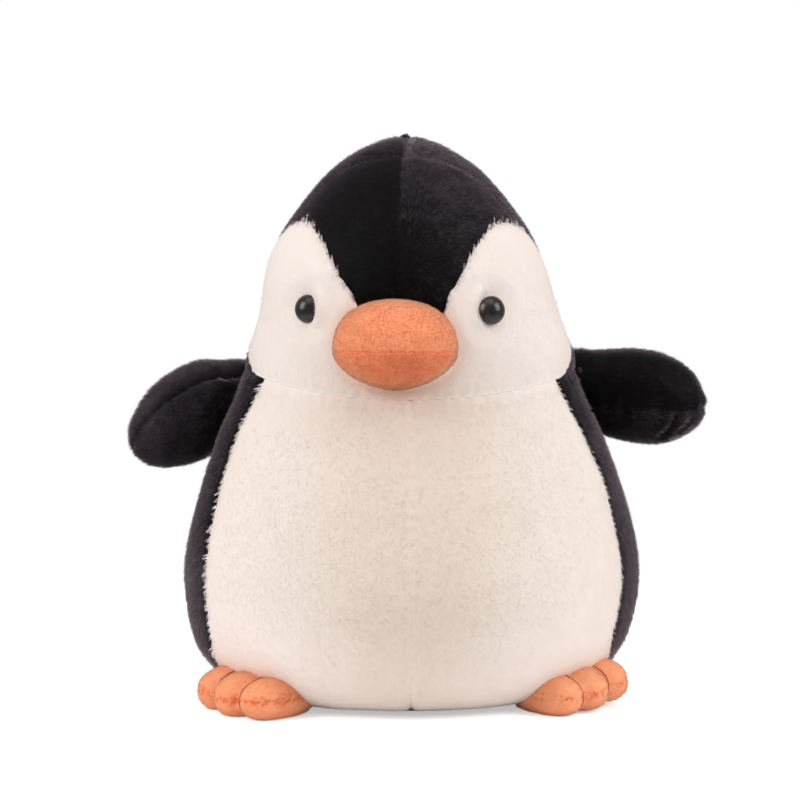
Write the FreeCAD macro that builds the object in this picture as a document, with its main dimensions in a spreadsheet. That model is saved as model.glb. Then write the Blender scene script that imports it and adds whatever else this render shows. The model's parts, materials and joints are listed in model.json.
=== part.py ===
"""Sitting plush penguin: plush panels sewn over a polyester filling, with a stuffed beak, two wings and two feet.

The frame is +Z up with the origin on the floor under the middle of the base. The toy faces -Y, so its own left
is +X. Lengths are in millimetres and angles in degrees. Every driving size is a cell of the sheet Sizes.
"""

import FreeCAD, Part
import math
import os

import Sketcher
from FreeCAD import Placement, Rotation, Vector

doc = FreeCAD.newDocument("PlushPenguin")
sheet = doc.addObject("Spreadsheet::Sheet", "Sizes")

# Ovals that the trunk is lofted through, from the floor to the crown:
# name, height, half width, half depth, forward shift, tilt of the outward normal above the horizon.
TRUNK_OVALS = [
    ("floor", 0.0, 58.0, 46.0, 2.0, -80.0),
    ("hem", 6.0, 77.0, 63.0, 2.0, -46.0),
    ("haunch", 19.0, 91.5, 75.0, 2.0, -20.0),
    ("belly", 50.0, 99.0, 85.0, 3.0, 1.0),
    ("chest", 90.0, 92.0, 80.0, 3.0, 16.0),
    ("shoulder", 118.0, 82.5, 72.0, 2.0, 20.0),
    ("throat", 143.0, 71.5, 64.0, 1.0, 17.0),
    ("jowl", 165.0, 67.0, 62.0, 1.0, 7.0),
    ("temple", 190.0, 60.5, 58.0, 1.0, 23.0),
    ("brow", 212.0, 47.5, 47.0, 0.0, 36.0),
    ("crown", 230.0, 31.5, 31.5, 0.0, 50.0),
    ("poll", 240.5, 14.5, 14.5, 0.0, 68.0),
    ("apex", 244.0, 1.6, 1.6, 0.0, 89.0),
]

# Ovals that a wing is lofted through, from its root to its tip:
# name, distance along the wing from its hinge, half height, half thickness, tilt of the surface towards the tip.
WING_OVALS = [
    ("root", -12.9, 1.5, 1.5, -85.0),
    ("stump", -10.6, 7.6, 7.6, -54.0),
    ("knuckle", -4.5, 12.2, 12.2, -25.0),
    ("elbow", 3.0, 15.6, 13.8, -16.0),
    ("blade", 15.0, 20.5, 16.5, 0.0),
    ("vane", 26.0, 19.0, 14.8, 25.0),
    ("finger", 34.0, 12.8, 10.0, 48.0),
    ("nib", 37.8, 5.6, 4.6, 70.0),
    ("tip", 38.8, 1.0, 1.0, 88.0),
]

SIZES = [
    ("wall", 3.0, "thickness of a plush panel, backing and dense pile"),
    ("short_wall", 1.4, "thickness of the orange short-pile panels"),
    ("sewn_gap", 0.5, "clearance between pieces that move on each other"),
    ("neck_seam", 140.0, "height of the seam round the neck, at its middle"),
    ("neck_tilt", 4.0, "downward tilt of that seam towards the front"),
    ("base_seam", 4.5, "height of the seam round the oval base panel"),
    ("head_turn", 5.5, "turn of the face towards the toy's right"),
    ("crown_seam", 13.0, "distance of the seam over the crown in front of the middle"),
    ("cheek_back", 8.0, "distance of the cheek's rear border behind the middle"),
    ("side_seam", 42.0, "distance of the belly's side seam in front of the middle"),
    ("hem_seam", 8.0, "the same distance at the foot of the side seam"),
    ("cap_half_width", 20.0, "half width of the black cap where it meets the beak"),
    ("cap_foot", 172.0, "height of the cap's lower end, behind the beak"),
    ("lobe_out", 45.5, "distance of a white cheek's highest point from the middle"),
    ("lobe_height", 208.0, "height of that point"),
    ("lobe_drop", 16.0, "fall of the cap's border from there to the cheek's rear edge"),
    ("eye_turn", 38.4, "angle of an eye from the middle of the face"),
    ("eye_height", 173.0, "height of the eyes"),
    ("eye_radius", 6.0, "radius of the eye's dome"),
    ("eye_rise", 4.2, "height of the dome over its rim"),
    ("eye_rim", 1.0, "depth of the straight rim under the dome"),
    ("eye_sink", 1.6, "how far the eye is pulled into the plush"),
    ("shank_radius", 2.0, "radius of the eye's shank"),
    ("shank_length", 12.0, "length of the shank behind the rim"),
    ("washer_radius", 6.5, "radius of the locking washer"),
    ("washer_depth", 1.6, "thickness of the washer"),
    ("washer_play", 0.1, "radial play between shank and washer"),
    ("beak_half_width", 25.5, "half width of the beak"),
    ("beak_reach", 29.0, "half length of the beak's form, of which beak_root is inside the face"),
    ("beak_root", 3.0, "how far the middle of the beak's form lies inside the face"),
    ("beak_rise", 21.0, "height of the beak over its mouth seam"),
    ("beak_fall", 16.5, "depth of the beak under its mouth seam"),
    ("beak_height", 158.0, "height of the mouth seam where it meets the face"),
    ("beak_droop", 3.0, "downward tilt of the beak"),
    ("wing_turn", 95.0, "angle of the wings' roots from the middle of the front"),
    ("wing_height", 127.0, "height of the wings' roots"),
    ("left_droop", 7.0, "how far the left wing hangs under the horizon"),
    ("left_forward", 4.0, "forward turn of the left wing"),
    ("left_roll", 28.0, "roll of the left wing, lower edge forward"),
    ("right_droop", 24.0, "how far the right wing hangs under the horizon"),
    ("right_forward", 22.0, "forward turn of the right wing"),
    ("right_roll", -38.0, "roll of the right wing, upper edge forward"),
    ("foot_out", 47.0, "distance of a foot's hinge from the middle, to the side"),
    ("foot_front", 29.0, "the same distance, to the front"),
    ("foot_turn", 50.0, "outward turn of the feet"),
    ("foot_heel", 5.0, "distance of the foot's rear edge in front of its hinge"),
    ("toe_half_width", 9.2, "half width of a toe"),
    ("toe_half_length", 17.5, "half length of a toe"),
    ("toe_half_height", 11.0, "half height of a toe before its sole is flattened"),
    ("toe_pitch", 12.5, "distance between toes"),
    ("toe_fan", 9.0, "angle between toes"),
    ("toe_forward", 20.0, "distance of the toes' middles in front of the hinge"),
    ("toe_set_back", 2.5, "how far the outer toes stand back"),
    ("toe_height", 9.6, "height of the toes' middles"),
    ("pad_half_width", 19.0, "half width of the pad that joins the toes"),
    ("pad_half_length", 17.0, "half length of that pad"),
    ("pad_half_height", 9.8, "half height of that pad"),
    ("pad_forward", 17.0, "distance of the pad's middle in front of the hinge"),
    ("sole_seam", 5.5, "height of the seam round the sole"),
    ("toe_thread", 0.45, "radius of the thread that divides the toes"),
    ("toe_loop", 7.5, "radius of that thread's loop"),
    ("seam_thread", 0.6, "radius of the hand-sewn thread"),
    ("wing_loop", 7.0, "radius of the thread loop at a wing's root"),
    ("stitch_length", 4.0, "length of a hand stitch"),
    ("beak_stitches", 16, "number of stitches round the beak"),
    ("closing_stitches", 10, "number of stitches that close the back"),
    ("closing_pitch", 5.0, "distance between them"),
    ("closing_height", 58.0, "height of the lowest of them"),
    ("foot_stitches", 5, "number of stitches behind a foot"),
    ("foot_pitch", 5.0, "angle between them, seen from the trunk's middle"),
]
TRUNK_COLUMNS = ("height", "half_width", "half_depth", "shift", "tilt")
WING_COLUMNS = ("along", "half_height", "half_thickness", "lean")
for ovals, columns in ((TRUNK_OVALS, TRUNK_COLUMNS), (WING_OVALS, WING_COLUMNS)):
    for name, *values in ovals:
        SIZES += [(f"{name}_{column}", value, f"{column} of the oval {name}") for column, value in zip(columns, values)]
for row, (alias, value, note) in enumerate(SIZES, 1):
    sheet.set(f"A{row}", alias)
    sheet.set(f"B{row}", str(value))
    sheet.setAlias(f"B{row}", alias)
    sheet.set(f"C{row}", note)
doc.recompute()

FAR = 400.0  # longer than any piece, for the shapes that only cut
UP = Vector(0, 0, 1)
SIDES = {"left": 1, "right": -1}
parts = {}


def size(alias):
    return float(sheet.get(alias))


def bound(kind, name, placement=None, **expressions):
    """A document object of this kind whose sizes are bound to the sheet."""
    made = doc.addObject(kind, name)
    for prop, expression in expressions.items():
        made.setExpression(prop, expression)
    if placement:
        made.Placement = placement
    return made


def feature(name, shape):
    """A piece or cutter that neither a body nor a primitive can make."""
    made = doc.addObject("Part::Feature", name)
    made.Shape = shape
    return made


def cut(name, base, *tools):
    tool = tools[0]
    if len(tools) > 1:
        tool = group(f"{name}_tools", tools)
    made = doc.addObject("Part::Cut", name)
    made.Base, made.Tool, made.Refine = base, tool, False
    return made


def common(name, base, tool):
    made = doc.addObject("Part::Common", name)
    made.Base, made.Tool, made.Refine = base, tool, False
    return made


def fused(name, shapes):
    made = doc.addObject("Part::MultiFuse", name)
    made.Shapes, made.Refine = shapes, False
    return made


def group(name, links):
    made = doc.addObject("Part::Compound", name)
    made.Links = list(links)
    return made


def block(name, low, high, placement=None):
    """A cutting box between two corners."""
    made = doc.addObject("Part::Box", name)
    made.Length, made.Width, made.Height = high - low
    made.Placement = (placement or Placement()) * Placement(low, Rotation())
    return made


# --- lofted forms ---


def oval(height, half_width, half_depth, shift, points=7):
    """A closed oval across Z, made of two halves that meet smoothly in front and behind."""
    edges = []
    for side in (1, -1):
        turns = [side * math.pi * (i / (points - 1) - 0.5) for i in range(points)]
        half = [Vector(side * half_width * math.cos(a), half_depth * math.sin(a) - shift, height) for a in turns]
        curve = Part.BSplineCurve()
        curve.interpolate(
            Points=half,
            Parameters=[i / (points - 1) for i in range(points)],
            InitialTangent=Vector(side * math.pi * half_width, 0, 0),
            FinalTangent=Vector(-side * math.pi * half_width, 0, 0),
            Scale=False,
        )
        edges.append(curve.toShape())
    return Part.Wire(edges)


def lofted(ovals, inset=0.0):
    """A solid through the ovals (height, half width, half depth, shift, tilt), taken in along their normals."""
    wires = []
    for height, half_width, half_depth, shift, tilt in ovals:
        inward = inset * math.cos(math.radians(tilt))
        lower = inset * math.sin(math.radians(tilt))
        least = 0.4 * min(half_width, half_depth)
        wires.append(oval(height - lower, max(half_width - inward, least), max(half_depth - inward, least), shift))
    return Part.makeLoft(wires, True, False)


def oval_sizes(ovals, columns):
    return [tuple(size(f"{row[0]}_{column}") for column in columns) for row in ovals]


trunk_ovals = oval_sizes(TRUNK_OVALS, TRUNK_COLUMNS)
trunk_form = feature("trunk_form", lofted(trunk_ovals))
filling_form = feature("filling_form", lofted(trunk_ovals, size("wall")))
trunk_room = feature("trunk_room", lofted(trunk_ovals, -size("sewn_gap")))
foot_room = feature("foot_room", lofted(trunk_ovals, -size("sewn_gap") - size("short_wall")))

def trunk_point(origin, direction):
    """Where a ray leaves the trunk, and the outward normal there."""
    inside = Part.makeLine(origin, origin + direction * FAR).common(trunk_form.Shape)
    point = max((vertex.Point for vertex in inside.Vertexes), key=lambda p: (p - origin).Length)
    wall = min(trunk_form.Shape.Faces, key=lambda face: face.distToShape(Part.Vertex(point))[0])
    normal = wall.normalAt(*wall.Surface.parameter(point))
    return point, normal if normal.dot(direction) > 0 else -normal


def bearing(angle):
    """The level direction at an angle from the front, positive towards the toy's left."""
    return Vector(math.sin(math.radians(angle)), -math.cos(math.radians(angle)), 0)


def facing(point, normal):
    """A placement at a point whose Z axis runs along the normal."""
    return Placement(point, Rotation(UP, normal))


# --- the trunk's panels ---

face_turn = Placement(Vector(), Rotation(UP, -size("head_turn")))
neck, lobe_height = size("neck_seam"), size("lobe_height")


def prism(name, points, first, last, across, placement=None):
    """A cutter pushed out of a closed outline: the points first to last lie on one smooth curve."""
    smooth = Part.BSplineCurve()
    smooth.interpolate(points[first : last + 1])
    straight = points[last:] + points[: first + 1]
    edges = [smooth.toShape()] + [Part.makeLine(a, b) for a, b in zip(straight, straight[1:])]
    made = feature(name, Part.Face(Part.Wire(edges)).extrude(across))
    if placement:
        made.Placement = placement
    return made


def head_front_zone():
    """All of the head in front of the crown seam and of the cheeks' rear border, seen from the side."""
    crown_seam, cheek_back, side_seam = size("crown_seam"), size("cheek_back"), size("side_seam")
    cheek = lobe_height - neck
    outline = [
        Vector(-FAR, -FAR, FAR),
        Vector(-FAR, -crown_seam, FAR),
        Vector(-FAR, -crown_seam, lobe_height),
        Vector(-FAR, 0.4 * cheek_back, lobe_height - 0.2 * cheek),
        Vector(-FAR, cheek_back, lobe_height - 0.5 * cheek),
        Vector(-FAR, -0.2 * side_seam, neck + 0.15 * cheek),
        Vector(-FAR, -side_seam, neck),
        Vector(-FAR, -side_seam, neck - cheek),
        Vector(-FAR, -FAR, neck - cheek),
    ]
    return prism("head_front", outline, 2, 6, Vector(2 * FAR, 0, 0), face_turn)


def body_front_zone():
    """All of the body in front of the side seams, which swing back at the hem."""
    side_seam, hem_seam, haunch = size("side_seam"), size("hem_seam"), size("haunch_height")
    outline = [
        Vector(-FAR, -FAR, neck + 1),
        Vector(-FAR, -side_seam, neck + 1),
        Vector(-FAR, -side_seam, 2.6 * haunch),
        Vector(-FAR, -(side_seam + hem_seam) / 2, haunch),
        Vector(-FAR, -hem_seam, 0),
        Vector(-FAR, -hem_seam, -1),
        Vector(-FAR, -FAR, -1),
    ]
    return prism("body_front", outline, 2, 4, Vector(2 * FAR, 0, 0))


def cap_zone(side_name, side):
    """The cap's half on one side: its border climbs from the beak over the cheek, seen from the front."""
    foot, half_width, drop, out = size("cap_foot"), size("cap_half_width"), size("lobe_drop"), size("lobe_out")
    bend = half_width + 0.38 * (out - half_width)
    outline = [
        Vector(0, -FAR, foot),
        Vector(side * half_width, -FAR, foot),
        Vector(side * bend, -FAR, (foot + lobe_height) / 2),
        Vector(side * out, -FAR, lobe_height),
        Vector(side * (out + drop), -FAR, lobe_height - drop),
        Vector(side * FAR, -FAR, lobe_height - drop),
        Vector(side * FAR, -FAR, FAR),
        Vector(0, -FAR, FAR),
    ]
    return prism(f"cap_{side_name}", outline, 1, 4, Vector(0, 2 * FAR, 0), face_turn)


trunk_shell = cut("trunk_shell", trunk_form, filling_form)
neck_plane = Placement(Vector(0, 0, neck), Rotation(Vector(1, 0, 0), size("neck_tilt")))
above_neck = block("above_neck", Vector(-FAR, -FAR, 0), Vector(FAR, FAR, FAR), neck_plane)
below_base = block("below_base", Vector(-FAR, -FAR, -FAR), Vector(FAR, FAR, size("base_seam")))
body_left = block("body_left", Vector(0, -FAR, -FAR), Vector(FAR, FAR, FAR))
head_left = block("head_left", Vector(0, -FAR, -FAR), Vector(FAR, FAR, FAR), face_turn)
head_front = head_front_zone()
body_front = body_front_zone()
head_shell = common("head_shell", trunk_shell, above_neck)
body_shell = cut("body_shell", trunk_shell, above_neck, below_base)
parts["base_panel"] = common("base_blank", trunk_shell, below_base)
for side_name, side in SIDES.items():
    halve = common if side > 0 else cut
    head = halve(f"head_{side_name}_half", head_shell, head_left)
    face = common(f"face_{side_name}", head, head_front)
    cap = cap_zone(side_name, side)
    parts[f"forehead_panel_{side_name}"] = common(f"forehead_{side_name}", face, cap)
    parts[f"cheek_panel_{side_name}"] = cut(f"cheek_{side_name}", face, cap)
    parts[f"head_back_panel_{side_name}"] = cut(f"head_back_{side_name}", head, head_front)
    flank = halve(f"body_{side_name}_half", body_shell, body_left)
    parts[f"belly_panel_{side_name}"] = common(f"belly_{side_name}", flank, body_front)
    parts[f"back_panel_{side_name}"] = cut(f"back_{side_name}", flank, body_front)

# --- eyes and their washers ---


def sketch_on(body, name, role):
    sketch = body.newObject("Sketcher::SketchObject", name)
    plane = next(part for part in body.Origin.OriginFeatures if part.Role == role)
    sketch.AttachmentSupport, sketch.MapMode = (plane, [""]), "FlatFace"
    return sketch


def tied(sketch, expression, *constraint):
    """A constraint whose value is bound to the sheet."""
    index = sketch.addConstraint(Sketcher.Constraint(*constraint, 1.0))
    sketch.setExpression(f"Constraints[{index}]", expression)


def eye_body(side_name, placement):
    """A moulded eye turned about Z: the shank, the rim and the dome, whose arc is centred on the axis."""
    body = doc.addObject("PartDesign::Body", f"eye_{side_name}_body")
    sketch = sketch_on(body, f"eye_{side_name}_outline", "XZ_Plane")
    shank, radius, rim, rise = size("shank_radius"), size("eye_radius"), size("eye_rim"), size("eye_rise")
    corners = [(0, -size("shank_length")), (shank, -size("shank_length")), (shank, 0), (radius, 0), (radius, rim)]
    points = [Vector(x, y, 0) for x, y in corners]
    for start, end in zip(points, points[1:]):
        sketch.addGeometry(Part.LineSegment(start, end), False)
    top = Vector(0, rim + rise, 0)
    arc_radius = (radius**2 + rise**2) / (2 * rise)
    circle = Part.Circle(Vector(0, top.y - arc_radius, 0), UP, arc_radius)
    dome = sketch.addGeometry(Part.ArcOfCircle(circle, math.acos(radius / arc_radius), math.pi / 2), False)
    axis = sketch.addGeometry(Part.LineSegment(top, points[0]), False)
    for line in range(3):
        sketch.addConstraint(Sketcher.Constraint("Coincident", line, 2, line + 1, 1))
    sketch.addConstraint(Sketcher.Constraint("Coincident", 3, 2, dome, 1))
    sketch.addConstraint(Sketcher.Constraint("Coincident", dome, 2, axis, 1))
    sketch.addConstraint(Sketcher.Constraint("Coincident", axis, 2, 0, 1))
    for line, start in ((0, 1), (axis, 1), (dome, 3)):
        sketch.addConstraint(Sketcher.Constraint("PointOnObject", line, start, -2))
    for line, direction in enumerate(("Horizontal", "Vertical", "Horizontal", "Vertical")):
        sketch.addConstraint(Sketcher.Constraint(direction, line))
    sketch.addConstraint(Sketcher.Constraint("PointOnObject", 2, 1, -1))
    tied(sketch, "Sizes.shank_radius", "DistanceX", -1, 1, 0, 2)
    tied(sketch, "Sizes.shank_length", "DistanceY", 0, 2, -1, 1)
    tied(sketch, "Sizes.eye_radius", "DistanceX", -1, 1, 3, 2)
    tied(sketch, "Sizes.eye_rim", "DistanceY", -1, 1, 3, 2)
    tied(sketch, "Sizes.eye_rim + Sizes.eye_rise", "DistanceY", -1, 1, dome, 2)
    turn = body.newObject("PartDesign::Revolution", f"eye_{side_name}_turn")
    turn.Profile, turn.ReferenceAxis, turn.Angle = sketch, (sketch, ["V_Axis"]), 360
    body.Placement = placement
    return body


def washer_body(side_name, placement):
    """The locking washer, a padded ring."""
    body = doc.addObject("PartDesign::Body", f"washer_{side_name}_body")
    sketch = sketch_on(body, f"washer_{side_name}_outline", "XY_Plane")
    for radius, expression in (
        (size("washer_radius"), "Sizes.washer_radius"),
        (size("shank_radius") + size("washer_play"), "Sizes.shank_radius + Sizes.washer_play"),
    ):
        ring = sketch.addGeometry(Part.Circle(Vector(), UP, radius), False)
        sketch.addConstraint(Sketcher.Constraint("Coincident", ring, 3, -1, 1))
        tied(sketch, expression, "Radius", ring)
    pad = body.newObject("PartDesign::Pad", f"washer_{side_name}_pad")
    pad.Profile = sketch
    pad.setExpression("Length", "Sizes.washer_depth")
    body.Placement = placement
    return body


for side_name, side in SIDES.items():
    point, normal = trunk_point(Vector(0, 0, size("eye_height")), bearing(side * size("eye_turn") - size("head_turn")))
    seat = facing(point - normal * size("eye_sink"), normal)
    behind_panel = size("eye_sink") - size("wall") - size("sewn_gap") - size("washer_depth")
    eye = parts[f"eye_{side_name}"] = eye_body(side_name, seat)
    washer = parts[f"eye_washer_{side_name}"] = washer_body(side_name, seat * Placement(UP * behind_panel, Rotation()))
doc.recompute()

# --- beak ---


def half_ellipsoid(name, placement, rise, lower, inset="0 mm"):
    """The upper or lower half of the beak's form."""
    made = bound(
        "Part::Ellipsoid",
        name,
        placement,
        Radius1=f"Sizes.{rise} * 1 mm - {inset}",
        Radius2=f"Sizes.beak_half_width * 1 mm - {inset}",
        Radius3=f"Sizes.beak_reach * 1 mm - {inset}",
    )
    made.Angle1, made.Angle2 = (-90, 0) if lower else (0, 90)
    return made


def stitch(name, placement):
    """One hand stitch: a short thread along Z whose middle is at the placement."""
    middle = placement * Placement(UP * (-size("stitch_length") / 2), Rotation())
    return bound("Part::Cylinder", name, middle, Radius="Sizes.seam_thread", Height="Sizes.stitch_length")


beak_point, _ = trunk_point(Vector(0, 0, size("beak_height")), bearing(-size("head_turn")))
beak_middle = beak_point - bearing(-size("head_turn")) * size("beak_root")
beak_seat = Placement(beak_middle, face_turn.Rotation * Rotation(Vector(1, 0, 0), size("beak_droop")))
beak_cores = []
for half, rise, lower in (("upper", "beak_rise", False), ("lower", "beak_fall", True)):
    skin = half_ellipsoid(f"beak_{half}_skin", beak_seat, rise, lower)
    core = half_ellipsoid(f"beak_{half}_core", beak_seat, rise, lower, "Sizes.short_wall * 1 mm")
    parts[f"beak_{half}_panel"] = cut(f"beak_{half}_blank", skin, core, trunk_form)
    beak_cores.append(core)
parts["beak_stuffing"] = cut("beak_filling", fused("beak_core", beak_cores), trunk_form)

beak_stitches = []
for i in range(int(size("beak_stitches"))):
    around = 2 * math.pi * (i + 0.5) / size("beak_stitches")
    rise = size("beak_rise") if math.sin(around) > 0 else size("beak_fall")
    spoke = Vector(size("beak_half_width") * math.cos(around), 0, rise * math.sin(around))
    start = face_turn.multVec(spoke + UP * size("beak_height"))
    point, normal = trunk_point(start, bearing(-size("head_turn")))
    out = face_turn.Rotation.multVec(spoke)
    along = (out - normal * out.dot(normal)).normalize()
    beak_stitches.append(stitch(f"beak_stitch_{i}", facing(point, along)))
parts["beak_attachment_thread"] = group("beak_thread", beak_stitches)

# --- wings ---

wing_ovals = [(along, high, thick, 0.0, lean) for along, high, thick, lean in oval_sizes(WING_OVALS, WING_COLUMNS)]
wing_shape = lofted(wing_ovals)
wing_core_shape = lofted(wing_ovals, size("wall"))
# The forms are lofted along Z with their height across X. This lays them along X, height up.
lay_down = Placement(Vector(), Rotation(Vector(0, 1, 0), 90))
wing_reach = -size("root_along") + 2 * size("sewn_gap")


def wing_seat(side_name, side):
    """A wing's frame at its hinge: X towards the tip, Y across the wing and Z towards its upper edge."""
    point, normal = trunk_point(Vector(0, 0, size("wing_height")), bearing(side * size("wing_turn")))
    hinge = point + normal * wing_reach
    outward = Rotation(UP, 0 if side > 0 else 180)
    forward = Rotation(UP, -side * size(f"{side_name}_forward"))
    droop = Rotation(Vector(0, 1, 0), size(f"{side_name}_droop"))
    roll = Rotation(Vector(1, 0, 0), side * size(f"{side_name}_roll"))
    return Placement(hinge, forward * outward * droop * roll), facing(point, normal)


for side_name, side in SIDES.items():
    seat, root = wing_seat(side_name, side)
    skin = feature(f"wing_{side_name}_skin", wing_shape)
    core = feature(f"wing_{side_name}_core", wing_core_shape)
    skin.Placement = core.Placement = seat * lay_down
    shell = cut(f"wing_{side_name}_shell", skin, core)
    front = block(f"wing_{side_name}_front", Vector(-FAR, -side * FAR, -FAR), Vector(FAR, 0, FAR), seat)
    if side < 0:
        front.Placement = seat * Placement(Vector(-FAR, 0, -FAR), Rotation())
    front.Length, front.Width, front.Height = 2 * FAR, FAR, 2 * FAR
    parts[f"wing_{side_name}_front_panel"] = common(f"wing_{side_name}_face", shell, front)
    parts[f"wing_{side_name}_back_panel"] = cut(f"wing_{side_name}_rear", shell, front)
    parts[f"wing_{side_name}_stuffing"] = core
    parts[f"wing_{side_name}_thread"] = bound(
        "Part::Torus", f"wing_{side_name}_loop", root, Radius1="Sizes.wing_loop", Radius2="Sizes.seam_thread"
    )

# --- feet ---


def foot_form(name, seat, inset, room):
    """Three toes fused to a pad, flattened at the sole and cut clear of the trunk."""
    lumps = []
    for toe in (-1, 0, 1):
        middle = Vector(
            toe * size("toe_pitch"),
            -size("toe_forward") + abs(toe) * size("toe_set_back"),
            size("toe_height"),
        )
        lumps.append(("toe", middle, toe * size("toe_fan")))
    lumps.append(("pad", Vector(0, -size("pad_forward"), size("toe_height")), 0))
    solids = [
        bound(
            "Part::Ellipsoid",
            f"{name}_{kind}_{i}",
            seat * Placement(middle, Rotation(UP, fan)),
            Radius1=f"(Sizes.{kind}_half_height - {inset}) * 1 mm",
            Radius2=f"(Sizes.{kind}_half_width - {inset}) * 1 mm",
            Radius3=f"(Sizes.{kind}_half_length - {inset}) * 1 mm",
        )
        for i, (kind, middle, fan) in enumerate(lumps)
    ]
    taken_in = size("short_wall") if inset != "0" else 0.0
    kept = block(f"{name}_kept", Vector(-FAR, -FAR, taken_in), Vector(FAR, -size("foot_heel") - taken_in, FAR), seat)
    return cut(f"{name}_form", common(f"{name}_flat", fused(f"{name}_lumps", solids), kept), room)


for side_name, side in SIDES.items():
    hinge_foot = Vector(side * size("foot_out"), -size("foot_front"), 0)
    seat = Placement(hinge_foot, Rotation(UP, side * size("foot_turn")))
    skin = foot_form(f"foot_{side_name}_skin", seat, "0", trunk_room)
    core = foot_form(f"foot_{side_name}_core", seat, "Sizes.short_wall", foot_room)
    loops = []
    for between in (-0.5, 0.5):
        valley = size("pad_forward") + size("pad_half_length") - size("toe_loop") - size("toe_thread")
        middle = Vector(between * size("toe_pitch"), -valley, size("toe_height"))
        upright = Rotation(UP, between * 2 * size("toe_fan")) * Rotation(Vector(0, 1, 0), 90)
        loops.append(
            bound(
                "Part::Torus",
                f"foot_{side_name}_loop_{len(loops)}",
                seat * Placement(middle, upright),
                Radius1="Sizes.toe_loop",
                Radius2="Sizes.toe_thread",
            )
        )
    threads = cut(f"foot_{side_name}_threads", group(f"foot_{side_name}_loops", loops), trunk_room)
    shell = cut(f"foot_{side_name}_shell", skin, core, threads)
    above_sole = block(f"foot_{side_name}_above", Vector(-FAR, -FAR, size("sole_seam")), Vector(FAR, FAR, FAR))
    parts[f"foot_{side_name}_upper_panel"] = common(f"foot_{side_name}_upper", shell, above_sole)
    parts[f"foot_{side_name}_sole_panel"] = cut(f"foot_{side_name}_sole", shell, above_sole)
    parts[f"foot_{side_name}_stuffing"] = cut(f"foot_{side_name}_filling", core, threads)
    parts[f"foot_{side_name}_toe_threads"] = threads
    heading = math.degrees(math.atan2(size("foot_out"), size("foot_front")))
    rows = []
    for i in range(int(size("foot_stitches"))):
        angle = heading + (i - (size("foot_stitches") - 1) / 2) * size("foot_pitch")
        point, normal = trunk_point(Vector(0, 0, size("hem_height")), bearing(side * angle))
        upward = (UP - normal * UP.dot(normal)).normalize()
        rows.append(stitch(f"foot_{side_name}_stitch_{i}", facing(point - normal * size("seam_thread"), upward)))
    parts[f"foot_{side_name}_attachment_thread"] = group(f"foot_{side_name}_rows", rows)

# --- the seam that closes the back, and what is let into the panels and the filling ---

closing = []
for i in range(int(size("closing_stitches"))):
    height = size("closing_height") + i * size("closing_pitch")
    point, normal = trunk_point(Vector(0, 0, height), Vector(0, 1, 0))
    closing.append(stitch(f"closing_stitch_{i}", facing(point, Vector(1, 0, 0))))
parts["back_closing_thread"] = group("closing_thread", closing)
doc.recompute()


def let_in(node, *nodes):
    """Cut the room for these nodes out of a panel or a filling."""
    parts[node] = cut(f"{node}_let_in", parts[node], *(parts[other] for other in nodes))


parts["body_stuffing"] = filling_form
let_in("body_stuffing", *(f"{kind}_{side_name}" for kind in ("eye", "eye_washer") for side_name in SIDES))
let_in("beak_upper_panel", "beak_attachment_thread")
let_in("beak_lower_panel", "beak_attachment_thread")
let_in("beak_stuffing", "beak_attachment_thread")
let_in("base_panel", "foot_left_attachment_thread", "foot_right_attachment_thread")
for side_name in SIDES:
    let_in(f"cheek_panel_{side_name}", f"eye_{side_name}", "beak_attachment_thread")
    let_in(f"forehead_panel_{side_name}", "beak_attachment_thread")
    let_in(f"back_panel_{side_name}", f"wing_{side_name}_thread", "back_closing_thread")
    let_in(f"belly_panel_{side_name}", f"foot_{side_name}_attachment_thread")
doc.recompute()

# --- checks and files ---

faults = [made.Name for made in doc.Objects if {"Invalid", "Error"} & set(made.State)]
for node, made in parts.items():
    made.Label = node
    shape = made.Shape
    if shape.isNull() or not shape.isValid() or not shape.Solids:
        faults.append(node)
if faults:
    raise RuntimeError(f"bad shapes: {faults}")
os.makedirs("parts", exist_ok=True)
for node, made in parts.items():
    made.Shape.exportStep(f"parts/{node}.step")
    print(f"{node}: {len(made.Shape.Solids)} solid(s), {made.Shape.Volume:.0f} mm3")
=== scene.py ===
import json

import bpy
import numpy as np
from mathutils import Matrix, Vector


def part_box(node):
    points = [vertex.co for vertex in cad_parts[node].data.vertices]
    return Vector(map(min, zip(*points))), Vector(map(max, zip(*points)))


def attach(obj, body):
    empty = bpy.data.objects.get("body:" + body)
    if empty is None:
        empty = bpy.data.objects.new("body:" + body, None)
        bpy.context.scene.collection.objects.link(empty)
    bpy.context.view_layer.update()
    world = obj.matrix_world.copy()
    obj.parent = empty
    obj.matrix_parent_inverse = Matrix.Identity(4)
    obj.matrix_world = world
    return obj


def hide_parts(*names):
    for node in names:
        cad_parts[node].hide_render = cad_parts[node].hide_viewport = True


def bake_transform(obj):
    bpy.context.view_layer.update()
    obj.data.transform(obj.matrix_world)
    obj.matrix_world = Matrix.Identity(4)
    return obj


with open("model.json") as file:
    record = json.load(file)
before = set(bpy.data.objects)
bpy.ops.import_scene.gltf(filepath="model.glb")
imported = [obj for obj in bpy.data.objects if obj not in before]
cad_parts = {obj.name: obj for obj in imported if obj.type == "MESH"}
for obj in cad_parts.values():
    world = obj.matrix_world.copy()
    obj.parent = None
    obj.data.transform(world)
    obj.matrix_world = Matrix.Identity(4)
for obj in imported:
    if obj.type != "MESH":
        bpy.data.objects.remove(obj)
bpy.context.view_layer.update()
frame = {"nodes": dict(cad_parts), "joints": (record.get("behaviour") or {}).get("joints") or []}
joints = {joint["name"]: joint for joint in frame["joints"]}
sides = {"left": 1, "right": -1}

# The whole toy is written in nominal millimetres. One of them, in metres, is the crown's height over its
# nominal height.
crownHeight = 244.0
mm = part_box("head_back_panel_left")[1].z / crownHeight


# A point in nominal millimetres: its metres over the size of one.
def nominal(point):
    return np.array(point, float) / mm


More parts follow.
